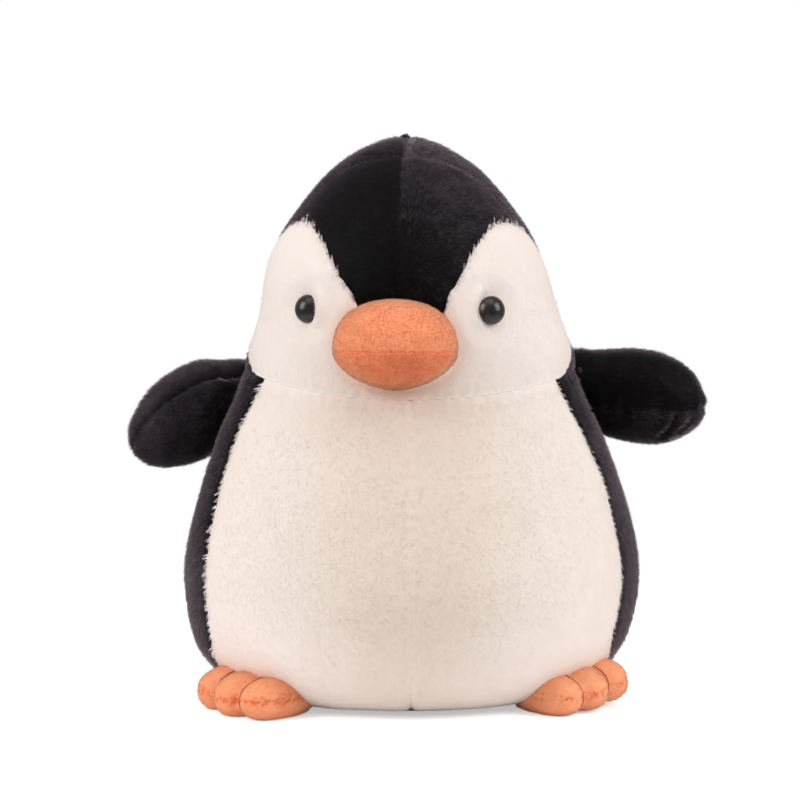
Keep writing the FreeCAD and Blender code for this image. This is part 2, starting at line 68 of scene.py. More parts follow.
# The middle of a node's box: half the sum of its two corners.
def nodeMiddle(node):
    low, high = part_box(node)
    return nominal((low + high) / 2)


# Value noise: a number scrambled from each whole-number corner, blended by smoothstep along each axis.
def latticeNoise(points, seed):
    cell = np.floor(points).astype(np.int64)
    part = points - cell
    part = part * part * (3 - 2 * part)
    total = np.zeros(len(points))
    for corner in np.ndindex(2, 2, 2):
        x, y, z = (cell + corner).T
        mixed = (x * 73856093) ^ (y * 19349663) ^ (z * 83492791) ^ (seed * 668265263)
        mixed = ((mixed ^ (mixed >> 15)) * 2246822519) & 0xFFFFFFFF
        mixed = ((mixed ^ (mixed >> 13)) * 3266489917) & 0xFFFFFFFF
        mixed = mixed ^ (mixed >> 16)
        weight = np.prod(np.where(np.array(corner) == 1, part, 1 - part), axis=1)
        total += weight * (mixed / 0xFFFFFFFF * 2 - 1)
    return total


# Three octaves, each half the size and half the height of the one before.
def cloudNoise(points, grain, seed):
    flat = points.reshape(-1, 3) / grain
    total = sum(latticeNoise(flat * 2**k + 17.3 * k, seed + k) / 2**k for k in range(3))
    return (total / 1.75).reshape(points.shape[:-1])


# A smooth curve through the values: each stretch is a cubic that leaves and arrives with the slopes there.
def smoothThrough(knots, values):
    knots, values = np.array(knots, float), np.array(values, float)
    slopes = np.gradient(values, knots, axis=0)

    # The cubic of the stretch that x falls in.
    def at(x):
        i = np.clip(np.searchsorted(knots, x) - 1, 0, len(knots) - 2)
        width = knots[i + 1] - knots[i]
        t = (x - knots[i]) / width
        shape = t.shape + (1,) * (values.ndim - 1)
        t, width = t.reshape(shape), width.reshape(shape)
        start = (1 + 2 * t) * (1 - t) ** 2 * values[i] + t * (1 - t) ** 2 * width * slopes[i]
        return start + t * t * (3 - 2 * t) * values[i + 1] + t * t * (t - 1) * width * slopes[i + 1]

    return at


# Each vector over its own length.
def unit(vectors):
    return vectors / np.maximum(np.linalg.norm(vectors, axis=-1, keepdims=True), 1e-9)


# The sum of the products of the coordinates.
def dot(a, b):
    return (a * b).sum(-1)


# Goes from 0 at low to 1 at high along 3 t squared less 2 t cubed.
def smoothstep(low, high, x):
    t = np.clip((x - low) / (high - low), 0, 1)
    return t * t * (3 - 2 * t)


# A bell of height 1: e to the power of minus the square of distance over width.
def bell(distance, width):
    return np.exp(-((distance / width) ** 2))


# Every pair of a value from the first list and one from the second, as two grids.
def crossed(first, second):
    return np.meshgrid(first, second, indexing="ij")


# A turn about one axis: cosines on the diagonal and sines beside it.
def turnMatrix(axis, degrees):
    c, s = np.cos(np.radians(degrees)), np.sin(np.radians(degrees))
    i, j = [(1, 2), (2, 0), (0, 1)][axis]
    matrix = np.eye(3)
    matrix[i, i] = matrix[j, j] = c
    matrix[i, j], matrix[j, i] = -s, s
    return matrix


# Wraps a socket, so that shader maths reads like a formula. One method makes every other node.
class Field:
    def __init__(self, tree, socket):
        self.tree, self.socket = tree, socket

    # A node of this kind. Underscores in the sockets' names stand for spaces.
    def node(self, kind, settings=None, **sockets):
        made = self.tree.nodes.new(kind)
        for key, value in (settings or {}).items():
            setattr(made, key, value)
        for key, value in sockets.items():
            self.put(made.inputs[key.replace("_", " ")], value)
        return made

    # Links a field to a socket, or sets a plain value on it.
    def put(self, socket, value):
        if isinstance(value, Field):
            self.tree.links.new(value.socket, socket)
        else:
            socket.default_value = value

    # One operation on two fields or numbers.
    def maths(self, operation, a, b):
        made = self.node("ShaderNodeMath", {"operation": operation})
        self.put(made.inputs[0], a)
        self.put(made.inputs[1], b)
        return Field(self.tree, made.outputs[0])

    def __add__(self, other):
        return self.maths("ADD", self, other)

    def __sub__(self, other):
        return self.maths("SUBTRACT", self, other)

    def __mul__(self, other):
        return self.maths("MULTIPLY", self, other)

    # 0 below low and 1 above high, by smoothstep.
    def between(self, low, high):
        settings = {"interpolation_type": "SMOOTHSTEP"}
        made = self.node("ShaderNodeMapRange", settings, Value=self, From_Min=low, From_Max=high)
        return Field(self.tree, made.outputs["Result"])

    # A straight line from one value at 0 to another at 1.
    def spread(self, low, high):
        made = self.node("ShaderNodeMapRange", Value=self, To_Min=low, To_Max=high)
        return Field(self.tree, made.outputs["Result"])

    # The first colour where this is 0 and the second where it is 1.
    def blend(self, first, second):
        made = self.node("ShaderNodeMix", {"data_type": "RGBA"})
        self.put(made.inputs["Factor"], self)
        self.put(made.inputs[6], first)
        self.put(made.inputs[7], second)
        return Field(self.tree, made.outputs[2])


# A colour of 0 to 255 levels as linear light: a straight start, then the power 2.4.
def linear(red, green, blue):
    levels = np.array([red, green, blue]) / 255.0
    return (*np.where(levels <= 0.04045, levels / 12.92, ((levels + 0.055) / 1.055) ** 2.4).tolist(), 1.0)


# A principled material and the field of its object coordinates.
def newMaterial(name, **constants):
    material = bpy.data.materials.new(name)
    material.use_nodes = True
    tree = material.node_tree
    shader = tree.nodes["Principled BSDF"]
    for key, value in constants.items():
        shader.inputs[key.replace("_", " ")].default_value = value
    place = Field(tree, tree.nodes.new("ShaderNodeTexCoord").outputs["Object"])
    return material, shader, place


# Noise whose grain is given in nominal millimetres.
def grain(place, size, detail=2.0):
    made = place.node("ShaderNodeTexNoise", Vector=place, Scale=1.0 / (size * mm), Detail=detail)
    return Field(place.tree, made.outputs["Fac"])


# Pile: the colour runs from deep at the roots to pale at the tips, under broad and fine mottling. The deep
# roots are painted shade down in the pile, and the tone also carries the panels' painted light and shade.
def pileMaterial(name, look):
    material, shader, place = newMaterial(
        name,
        Roughness=look["rough"],
        Specular_IOR_Level=look["specular"],
        Sheen_Weight=look["sheen"],
        Sheen_Roughness=look["sheenRough"],
        Sheen_Tint=look["sheenTint"],
    )
    tone = place.node("ShaderNodeAttribute", {"attribute_name": "tone"})
    height = Field(place.tree, tone.outputs["Fac"])
    mottle = (grain(place, look["mottle"]) - 0.5) * look["mottling"]
    mottle = mottle + (grain(place, look["fleck"]) - 0.5) * look["flecking"]
    colour = (height + mottle).between(0.0, 1.0).blend(look["deep"], look["pale"])
    place.put(shader.inputs["Base Color"], colour)
    return material


looks = {
    "white": {
        "deep": linear(224, 208, 194),
        "pale": linear(240, 228, 221),
        "rough": 0.9,
        "specular": 0.08,
        "sheen": 0.1,
        "sheenRough": 0.5,
        "sheenTint": (1.0, 0.92, 0.9, 1.0),
        "mottle": 20.0,
        "mottling": 0.22,
        "fleck": 2.5,
        "flecking": 0.1,
    },
    "black": {
        "deep": linear(3, 2, 3),
        "pale": linear(70, 61, 67),
        "rough": 0.6,
        "specular": 0.08,
        "sheen": 1.0,
        "sheenRough": 0.33,
        "sheenTint": (0.78, 0.64, 0.74, 1.0),
        "mottle": 9.0,
        "mottling": 0.6,
        "fleck": 2.0,
        "flecking": 0.3,
    },
    "orange": {
        "deep": linear(222, 98, 55),
        "pale": linear(254, 170, 127),
        "rough": 0.85,
        "specular": 0.12,
        "sheen": 1.0,
        "sheenRough": 0.35,
        "sheenTint": (1.0, 0.66, 0.46, 1.0),
        "mottle": 7.0,
        "mottling": 0.35,
        "fleck": 0.7,
        "flecking": 0.9,
    },
}
pileMaterials = {name: pileMaterial(f"{name}Pile", look) for name, look in looks.items()}


# Each point's distance from the first along one axis of a grid: the running sum of the steps' lengths.
def runAlong(points, axis):
    steps = np.linalg.norm(np.diff(points, axis=axis), axis=-1)
    pad = [(0, 0), (0, 0)]
    pad[axis] = (1, 0)
    return np.pad(np.cumsum(steps, axis=axis), pad)


# Normals of a grid, from the cross product of its two tangents.
def gridNormals(points, flip):
    along, across = np.gradient(points, axis=0), np.gradient(points, axis=1)
    return unit(np.cross(along, across)) * (-1 if flip else 1)


# Whether a grid's normals have to be turned over to point away from a place inside.
def facesInwards(points, inside):
    return dot(gridNormals(points, False), points - inside).sum() < 0


# Puts vertices, faces of three or four corners, a map, tones and normals into an object.
def makeObject(name, vertices, faceGroups, mapGroups, tones, normals, material):
    mesh = bpy.data.meshes.new(name)
    corners = np.concatenate([faces.ravel() for faces in faceGroups])
    sizes = np.concatenate([np.full(len(faces), faces.shape[1]) for faces in faceGroups])
    mesh.vertices.add(len(vertices))
    mesh.vertices.foreach_set("co", (vertices * mm).astype(np.float32).ravel())
    mesh.loops.add(len(corners))
    mesh.loops.foreach_set("vertex_index", corners.astype(np.int32))
    mesh.polygons.add(len(sizes))
    mesh.polygons.foreach_set("loop_start", np.concatenate([[0], np.cumsum(sizes)[:-1]]).astype(np.int32))
    mesh.polygons.foreach_set("use_smooth", np.ones(len(sizes), bool))
    mesh.update(calc_edges=True)
    layer = mesh.uv_layers.new(name="OFBake")
    spread = np.concatenate([mapped.reshape(-1, 2) for mapped in mapGroups])
    layer.uv.foreach_set("vector", spread.astype(np.float32).ravel())
    tone = mesh.attributes.new("tone", "FLOAT", "POINT")
    tone.data.foreach_set("value", tones.astype(np.float32))
    mesh.materials.append(material)
    mesh.validate()
    if normals is not None:
        mesh.normals_split_custom_set_from_vertices(normals.astype(np.float32))
    made = bpy.data.objects.new(name, mesh)
    bpy.context.scene.collection.objects.link(made)
    return made


# A closed skin from a grid and the same grid taken inwards. Returns its vertices, normals, faces and map.
def closedSkin(outer, normals, thickness, flip):
    rows, columns = outer.shape[:2]
    inner = outer - normals * thickness
    index = np.arange(rows * columns).reshape(rows, columns)
    under = index + rows * columns

    # The four neighbours of each cell, turned over where the surface looks the other way.
    def quads(grid, turned):
        made = np.stack([grid[:-1, :-1], grid[1:, :-1], grid[1:, 1:], grid[:-1, 1:]], -1).reshape(-1, 4)
        return made[:, ::-1] if turned else made

    rim = np.concatenate([index[:-1, 0], index[-1, :-1], index[:0:-1, -1], index[0, :0:-1]])
    nextRim, below = np.roll(rim, -1), rows * columns
    rimFaces = np.stack([rim, rim + below, nextRim + below, nextRim], -1)
    rimFaces = rimFaces if flip else rimFaces[:, ::-1]
    faces = np.concatenate([quads(index, flip), quads(under, not flip), rimFaces])
    s, t = crossed(np.linspace(0, 1, rows), np.linspace(0, 1, columns))
    # The outside and the inside lie side by side in the map's top strip, which the pile leaves free.
    spread = np.stack([s, t], -1).reshape(-1, 2)
    outside, insideOut = spread * [0.46, 0.1] + [0.01, 0.89], (spread - 0.5) * [0.47, 0.104] + [0.76, 0.94]
    places = np.concatenate([outside, insideOut])
    mapped = places[faces]
    wrapped = mapped[-len(rimFaces) :]
    wrapped[:, :, 0] = np.where(wrapped[:, :, 0] > 0.5, wrapped[:, :, 0] - 0.52 + 0.004, wrapped[:, :, 0])
    vertices = np.concatenate([outer.reshape(-1, 3), inner.reshape(-1, 3)])
    allNormals = np.concatenate([normals.reshape(-1, 3), -normals.reshape(-1, 3)])
    return vertices, allNormals, faces, mapped


# Bilinear values of a grid at fractional rows and columns.
def sampled(grid, row, column):
    i = np.clip(row.astype(int), 0, grid.shape[0] - 2)
    j = np.clip(column.astype(int), 0, grid.shape[1] - 2)
    extra = (1,) * (grid.ndim - 2)
    u, v = (row - i).reshape(-1, *extra), (column - j).reshape(-1, *extra)
    near = grid[i, j] * (1 - u) + grid[i + 1, j] * u
    return near * (1 - v) + (grid[i, j + 1] * (1 - u) + grid[i + 1, j + 1] * u) * v


# Even sampling: cells are drawn by their area, and a point at random inside each.
def scatter(points, density, random):
    along, across = np.diff(points, axis=0)[:, :-1], np.diff(points, axis=1)[:-1]
    area = np.linalg.norm(np.cross(along, across), axis=-1)
    count = int(area.sum() * density)
    cell = np.searchsorted(np.cumsum(area.ravel()), random.random(count) * area.sum())
    cell = np.minimum(cell, area.size - 1)
    row, column = np.divmod(cell, area.shape[1])
    return row + random.random(count), column + random.random(count)


# What every fibre shares: how deep its root sits, how near the floor it comes, the spread of its length,
# width, lean and tone, the most that a tuft draws it in, and the angle between its three edges.
spikes = {
    "rooting": 0.35,
    "floorGap": 0.2,
    "lengths": (0.7, 1.15),
    "widths": (0.7, 1.2),
    "leans": (0.1, 1.45),
    "leanSpread": 0.12,
    "toneSpread": 0.06,
    "mostGather": 0.88,
    "thirdTurn": 2.0944,
}


# Fibres: each is a thin closed spike whose tip is its length away, leaning along the nap. Tips are drawn
# towards the mean tip of their tuft, and tufts are the cells of a warped lattice.
def pileFibres(roots, normals, nap, length, clump, hair, random):
    count = len(roots)
    swirl = cloudNoise(roots, hair["swirlGrain"], 11) * hair["swirl"]
    swirl = swirl + random.normal(0, hair["stray"], count)
    level = unit(nap - normals * dot(nap, normals)[:, None])
    side = np.cross(normals, level)
    heading = level * np.cos(swirl)[:, None] + side * np.sin(swirl)[:, None]
    lean = np.radians(hair["lean"] + hair["leanSwing"] * cloudNoise(roots, hair["swirlGrain"] * 0.7, 23))
    lean = np.clip(lean + random.normal(0, spikes["leanSpread"], count), *spikes["leans"])
    reach = length * hair["length"] * random.uniform(*spikes["lengths"], count)
    tips = roots + (normals * np.cos(lean)[:, None] + heading * np.sin(lean)[:, None]) * reach[:, None]
    warp = np.stack([cloudNoise(roots, hair["tuft"] * 1.5, 31 + k) for k in range(3)], -1)
    warped = roots + 0.5 * hair["tuft"] * warp
    cell = np.floor(warped / hair["tuft"]).astype(np.int64) @ np.array([1, 4096, 16777216])
    _, tuft = np.unique(cell, return_inverse=True)
    members = np.bincount(tuft)
    middle = np.stack([np.bincount(tuft, tips[:, k]) / members for k in range(3)], -1)[tuft]
    tips = tips + (middle - tips) * np.clip(hair["gather"] + clump, 0, spikes["mostGather"])[:, None]
    axis = unit(tips - roots)
    first = unit(np.cross(axis, normals + 0.01))
    second = np.cross(axis, first)
    turn = 1.5 * np.pi + random.normal(0, hair["roll"], count)
    thick = hair["width"] * random.uniform(*spikes["widths"], count) * np.maximum(length, 0.7) ** 0.8 / 2
    vertices = np.empty((count, 4, 3))
    shade = np.empty((count, 4, 3))
    for k in range(3):
        angle = turn + k * spikes["thirdTurn"]
        spoke = first * np.cos(angle)[:, None]
        spoke += second * np.sin(angle)[:, None] * hair["flat"]
        vertices[:, k] = roots - normals * spikes["rooting"] + spoke * thick[:, None]
        shade[:, k] = unit(normals * hair["soft"] + spoke * (1 - hair["soft"]))
    vertices[:, 3] = tips
    vertices[..., 2] = np.maximum(vertices[..., 2], spikes["floorGap"])
    shade[:, 3] = unit(normals * hair["soft"] + axis * (1 - hair["soft"]) * 0.5)
    tuftTone = random.normal(0, hair["tuftTone"], len(members))[tuft]
    tones = np.empty((count, 4))
    tones[:, :3] = (hair["rootTone"] + tuftTone)[:, None]
    tones[:, 3] = hair["tipTone"] + tuftTone + random.normal(0, spikes["toneSpread"], count)
    base = np.arange(count)[:, None] * 4
    triangles = ([0, 1, 3], [1, 2, 3], [2, 0, 3], [0, 2, 1])
    faces = np.stack([base + corners for corners in triangles], 1).reshape(-1, 3)
    # Each fibre has a cell of the map, and each of its faces a triangle there.
    perRow = int(np.ceil(np.sqrt(count)))
    cellPlace = np.stack(np.divmod(np.arange(count), perRow), -1)[:, None, None, :]
    strip = np.array(
        [
            [[0.05, 0.2], [0.35, 0.2], [0.2, 0.95]],
            [[0.35, 0.2], [0.65, 0.2], [0.5, 0.95]],
            [[0.65, 0.2], [0.95, 0.2], [0.8, 0.95]],
            [[0.05, 0.02], [0.95, 0.02], [0.5, 0.15]],
        ]
    )
    mapped = (cellPlace + strip[None]) / perRow * [1.0, 0.88]
    mapped = mapped.reshape(-1, 3, 2)
    return vertices.reshape(-1, 3), shade.reshape(-1, 3), faces, mapped, tones.ravel()


# How every seam is sewn. Gathers reach gatherReach seam widths and their phase drifts, the pile is trimmed
# within trimReach of them, and locks grow within lockReach of the border.
sewing = {
    "gatherReach": 2.2,
    "drift": 2.5,
    "driftGrain": 14.0,
    "trimReach": 0.8,
    "stitchPitch": 1.9,
    "stitchWidth": 0.45,
    "lockReach": 2.4,
    "speckGrain": 1.2,
    "speckContrast": 4.0,
}


# Specks: fine noise, stretched and cut off at 0 and 1.
def speckle(points):
    return np.clip(cloudNoise(points, sewing["speckGrain"], 61) * sewing["speckContrast"], 0, 1)


# A sewn panel: a skin that dips along its seams, with its pile. Along a border the pile may be shorter, or
# longer and clumped into locks that spread over the seam. A border's gathers are a sine of the distance
# along it, and its dip may fade along it from the share called least to its whole depth.
def sewnPanel(name, points, spec, hair, material, inside, relief=None, keep=None, seed=0):
    random = np.random.default_rng(seed)
    flip = facesInwards(points, inside)
    normals = gridNormals(points, flip)
    fromStart, fromSide = runAlong(points, 0), runAlong(points, 1)
    away = {
        "start": fromStart,
        "end": fromStart[-1:] - fromStart,
        "near": fromSide,
        "far": fromSide[:, -1:] - fromSide,
    }
    along = {"start": fromSide, "end": fromSide, "near": fromStart, "far": fromStart}
    upwards, sidewards = unit(np.gradient(points, axis=0)), unit(np.gradient(points, axis=1))
    outwards = {"start": -upwards, "end": upwards, "near": -sidewards, "far": sidewards}
    flaring = np.zeros(points.shape)
    rise, shading, flecking, clumping = np.zeros((4, *points.shape[:2]))
    shorter = np.ones(points.shape[:2])
    # The spec's tones add the panel's painted light and shade, and any streaks or mottling of its own.
    if "tones" in spec:
        shading += spec["tones"](points)
    drift = sewing["drift"] * cloudNoise(points, sewing["driftGrain"], 5)
    uneven = 1 + 0.5 * cloudNoise(points, 2.6, 77) + 0.6 * cloudNoise(points, 8.0, 78)
    for border, seam in spec["edges"].items():
        distance = away[border]
        depth = seam["depth"]
        if "fade" in seam:
            least = seam.get("least", 0.0)
            depth = depth * (least + (1 - least) * smoothstep(*seam["fade"], along[border]))
        rise -= depth * bell(distance, seam["width"])
        phase = 2 * np.pi * along[border] / seam.get("pitch", 8.0)
        phase += drift
        gathers = seam.get("gather", 0.0) * np.sin(phase)
        rise += gathers * bell(distance, sewing["gatherReach"] * seam["width"])
        shorter *= 1 - seam.get("shorten", 0.3) * bell(distance, sewing["trimReach"] * seam["width"])
        shading += seam.get("tone", 0.0) * bell(distance, seam.get("toneWidth", 1.6))
        dashes = np.maximum(np.sin(along[border] * 2 * np.pi / sewing["stitchPitch"]), 0)
        shading += seam.get("dash", 0.0) * dashes * bell(distance, sewing["stitchWidth"])
        near = bell(distance, sewing["lockReach"])
        flecking += seam.get("fleck", 0.0) * near
        shorter *= 1 + seam.get("grow", 0.0) * near * uneven
        clumping += seam.get("clump", 0.0) * near
        flaring += outwards[border] * seam.get("flare", 0.0) * near[..., None]
    rise += spec.get("lump", 0.0) * cloudNoise(points, spec.get("lumpGrain", 40.0), 3)
    if relief is not None:
        lift, trim = relief(points)
        rise += lift
        shorter *= trim
    outer = points + normals * rise[..., None]
    normals = gridNormals(outer, flip)
    vertices, shade, faces, mapped = closedSkin(outer, normals, spec["thick"], flip)
    tones = np.full(len(vertices), hair["skinTone"])
    row, column = scatter(outer, hair["density"], random)
    roots, up = sampled(outer, row, column), unit(sampled(normals, row, column))
    length, seamShade = sampled(shorter, row, column), sampled(shading, row, column)
    clump = sampled(clumping, row, column)
    seamShade += sampled(flecking, row, column) * speckle(roots)
    nap = unit(spec["nap"](roots)) + sampled(flaring, row, column)
    if keep is not None:
        kept = keep(roots)
        roots, up, length, nap, seamShade = roots[kept], up[kept], length[kept], nap[kept], seamShade[kept]
        clump = clump[kept]
    made = pileFibres(roots, up, nap, length, clump, hair, random)
    fibre, fibreShade, fibreFaces, fibreMap, fibreTones = made
    tones[: points.shape[0] * points.shape[1]] += (shading + flecking * speckle(points)).ravel()
    fibreTones = fibreTones + np.repeat(seamShade, 4)
    made = makeObject(
        name,
        np.concatenate([vertices, fibre]),
        [faces, fibreFaces + len(vertices)],
        [mapped, fibreMap],
        np.concatenate([tones, fibreTones]) + spec.get("toneShift", 0.0),
        np.concatenate([shade, fibreShade]),
        material,
    )
    print(f"{name}: {len(roots)} fibres, {len(made.data.polygons)} faces")
    return made


whitePlush = {
    "length": 1.5,
    "width": 0.27,
    "flat": 0.25,
    "roll": 0.3,
    "density": 2.65,
    "lean": 82.5,
    "leanSwing": 3.0,
    "swirl": 0.3,
    "swirlGrain": 14.0,
    "stray": 0.25,
    "tuft": 2.8,
    "gather": 0.0,
    "soft": 0.99,
    "rootTone": 0.66,
    "tipTone": 0.7,
    "tuftTone": 0.0,
    "skinTone": 0.68,
}
blackPlush = {
    **whitePlush,
    "length": 2.7,
    "width": 0.4,
    "flat": 0.8,
    "roll": 3.0,
    "density": 2.35,
    "lean": 66.0,
    "leanSwing": 8.0,
    "swirl": 0.5,
    "tuft": 2.0,
    "gather": 0.22,
    "soft": 0.86,
    "rootTone": 0.1,
    "tipTone": 0.5,
    "tuftTone": 0.07,
    "skinTone": 0.1,
}
velour = {
    **whitePlush,
    "length": 0.75,
    "width": 0.26,
    "flat": 0.9,
    "roll": 3.0,
    "density": 4.1,
    "lean": 35.0,
    "leanSwing": 4.0,
    "tuft": 1.2,
    "gather": 0.2,
    "soft": 0.88,
    "rootTone": 0.45,
    "tipTone": 0.75,
    "tuftTone": 0.06,
    "skinTone": 0.5,
}
backPlush = {
    **blackPlush,
    "length": 3.0,
    "width": 0.5,
    "density": 1.45,
    "lean": 62.0,
    "gather": 0.36,
    "soft": 0.72,
    "tuftTone": 0.12,
}
piles = {"white": whitePlush, "black": blackPlush, "back": backPlush}


# Ovals of the trunk: height, half width, half depth, forward shift. The first two cross the flat base.
trunk = {
    "ovals": [
        (0.0, 1.0, 0.8, 2.0),
        (0.0, 30.0, 24.0, 2.0),
        (0.6, 58.0, 46.0, 2.0),
        (6.0, 77.0, 63.0, 2.0),
        (19.0, 91.5, 75.0, 2.0),
        (50.0, 99.0, 85.0, 3.0),
        (90.0, 92.0, 80.0, 3.0),
        (118.0, 82.5, 72.0, 2.0),
        (143.0, 72.4, 64.2, 1.0),
        (152.0, 71.0, 63.6, 1.0),
        (165.0, 67.0, 62.0, 1.0),
        (190.0, 60.5, 58.0, 1.0),
        (212.0, 47.5, 47.0, 0.0),
        (230.0, 31.2, 31.5, 0.0),
        (240.5, 13.2, 14.0, 0.0),
        (244.0, 1.0, 1.0, 0.0),
    ],
    "turn": np.radians(-2.6),
    "inset": 1.1,
    "headShift": -2.4,
    "headFrom": (150.0, 200.0),
    "lowNarrowing": 0.024,
    "narrowBelow": (10.0, 45.0),
    "neckFront": 136.6,
    "neckRise": 10.4,
    "neckDepth": 48.0,
    "neckLowest": 134.0,
    "neckMiddle": 142.0,
    "base": 1.5,
    "wall": 2.4,
    "capLine": [
        (16.5, 172.0),
        (17.4, 176.0),
        (22.6, 184.0),
        (29.5, 193.0),
        (43.5, 204.0),
        (62.6, 208.0),
        (80.0, 204.5),
        (93.0, 199.5),
        (101.0, 196.0),
    ],
    "rearLine": [
        (134.0, -46.0),
        (141.0, -30.0),
        (147.8, -4.0),
        (174.0, 11.0),
        (194.4, 5.5),
        (208.0, -11.0),
        (232.0, -18.5),
        (237.0, -22.5),
        (244.0, -24.0),
    ],
    "sideLines": {
        "left": [
            (0.0, 0.0),
            (8.0, -5.0),
            (14.4, -13.0),
            (22.0, -26.0),
            (30.0, -33.0),
            (40.0, -35.0),
            (55.0, -34.8),
            (71.0, -34.2),
            (93.0, -31.8),
            (117.0, -33.0),
            (146.0, -33.0),
        ],
        "right": [
            (0.0, -10.0),
            (15.0, -25.5),
            (29.0, -36.0),
            (47.0, -39.8),
            (65.0, -39.6),
            (81.0, -37.0),
            (102.0, -34.2),
            (124.0, -31.2),
            (146.0, -31.2),
        ],
    },
}
ovals = np.array(trunk["ovals"])
profileRun = np.concatenate([[0], np.cumsum(np.hypot(*np.diff(ovals[:, :2], axis=0).T))])
profileRun /= profileRun[-1]
ovalAt = smoothThrough(profileRun, ovals)
fineRun = np.linspace(0, 1, 2001)
fineOvals = ovalAt(fineRun)
fineHeights = np.maximum.accumulate(fineOvals[:, 0] + 1e-6 * np.arange(2001))


# The run at which the outline reaches this height.
def runAtHeight(height):
    return np.interp(height, fineHeights, fineRun)


# The toy's left side is a little narrower low down.
def narrowing(leftness, height):
    low = 1 - smoothstep(*trunk["narrowBelow"], height)
    return 1 - trunk["lowNarrowing"] * smoothstep(0.0, 0.6, leftness) * low


# A point of the trunk: azimuth 0 is the middle of the front, and run goes from the base's middle to the
# apex. Across and forward are the oval's half width and half depth by the azimuth's sine and cosine.
def trunkPoint(azimuth, run):
    oval = ovalAt(run)
    shift = trunk["headShift"] * smoothstep(*trunk["headFrom"], oval[..., 0])
    x = np.maximum(oval[..., 1] - trunk["inset"], 0.3) * np.sin(azimuth)
    x = x * narrowing(np.sin(azimuth), oval[..., 0]) + shift
    y = -oval[..., 3] - np.maximum(oval[..., 2] - trunk["inset"], 0.3) * np.cos(azimuth)
    return np.stack([x, y, oval[..., 0]], -1)


# The azimuth at which the trunk reaches this y at this height.
def azimuthAt(y, height):
    oval = ovalAt(runAtHeight(height))
    return np.arccos(np.clip((-y - oval[..., 3]) / oval[..., 2], -1, 1))


# The neck seam is lowest in front and rises round the sides, less and less, to the back.
def neckHeight(azimuth):
    oval = ovalAt(runAtHeight(np.full(np.shape(azimuth), 140.0)))
    behind = oval[..., 2] * (1 - np.cos(azimuth))
    return trunk["neckFront"] + trunk["neckRise"] * (1 - np.exp(-behind / trunk["neckDepth"]))


sideAt = {name: smoothThrough(*np.array(line).T) for name, line in trunk["sideLines"].items()}
rearAt = smoothThrough(*np.array(trunk["rearLine"]).T)
fineUp = np.linspace(trunk["neckLowest"], crownHeight - 0.5, 500)
rearAzimuth = azimuthAt(rearAt(fineUp), fineUp)
turnAt = int(np.argmax(rearAzimuth))
capAt = smoothThrough(*np.array(trunk["capLine"]).T)


# The height of the cap's lower border at an azimuth, level past its ends.
def capBorder(azimuth):
    return capAt(np.clip(np.degrees(azimuth), trunk["capLine"][0][0], trunk["capLine"][-1][0]))


# The rear seam turns back at its widest. These are its heights under and over that place, by azimuth.
def rearLower(azimuth):
    return np.interp(azimuth, rearAzimuth[: turnAt + 1], fineUp[: turnAt + 1], left=0.0)


upperAzimuth, upperHeights = rearAzimuth[turnAt:][::-1], fineUp[turnAt:][::-1]
upperAzimuth, upperHeights = upperAzimuth[upperAzimuth > 1e-3], upperHeights[upperAzimuth > 1e-3]


def rearUpper(azimuth):
    return np.interp(azimuth, upperAzimuth, upperHeights)


# An azimuth on the head, which is turned a little on the body.
def headAzimuth(side, azimuth):
    return side * azimuth + trunk["turn"]


# A panel's grid: s goes round the toy from the front, t goes up, and place gives azimuth and run for them.
def panelGrid(rows, columns, place):
    s, t = crossed(np.linspace(0, 1, rows), np.linspace(0, 1, columns))
    return trunkPoint(*place(s, t))


# The front runs from the middle to the side seam, and the back from there to the middle behind.
def bodyPlace(side, back):
    low = runAtHeight(trunk["base"])
    seamAt = sideAt["left" if side > 0 else "right"]

    def place(s, t):
        height = ovalAt(low + t * (runAtHeight(trunk["neckMiddle"]) - low))[..., 0]
        seam = azimuthAt(seamAt(height), height)
        azimuth = seam + s * (np.pi - seam) if back else s * seam
        return side * azimuth, low + t * (runAtHeight(neckHeight(azimuth)) - low)

    return place


# A cheek lies between the neck or the rear seam below and the cap or the rear seam above.
def cheekPlace(side):
    def place(s, t):
        azimuth = s * rearAzimuth.max()
        low = np.maximum(neckHeight(headAzimuth(side, azimuth)), rearLower(azimuth))
        high = np.maximum(np.minimum(capBorder(azimuth), rearUpper(azimuth)), low)
        return headAzimuth(side, azimuth), runAtHeight(low + t * (high - low))

    return place


meetings = np.linspace(0.5, rearAzimuth.max(), 400)
capEnd = meetings[np.argmax(rearUpper(meetings) < capBorder(meetings))]


# The forehead lies between the cap's border and the rear seam, as far round as they meet.
def foreheadPlace(side):
    def place(s, t):
        azimuth = s * capEnd
        low, high = runAtHeight(capBorder(azimuth)), runAtHeight(rearUpper(azimuth))
        return headAzimuth(side, azimuth), low + t * np.maximum(high - low, 0)

    return place


# The back of the head lies behind the rear seam, from the neck to the apex.
def headBackPlace(side):
    low, top = runAtHeight(trunk["neckMiddle"]), 1.0

    def place(s, t):
        run = low + t * (top - low)
        height = ovalAt(run)[..., 0]
        front = np.interp(height, fineUp, rearAzimuth)
        front = np.where(height > upperHeights[0], 0.0, front)
        azimuth = front + s * (np.pi - front)
        world = headAzimuth(side, azimuth)
        lowest = runAtHeight(neckHeight(world))
        return world, lowest + t * (top - lowest)

    return place


# What the eyes and the beak do to the face: the plush dips round them, and its pile is shorter there.
eyeMiddles = {side: nodeMiddle(f"eye_{side}") for side in sides}
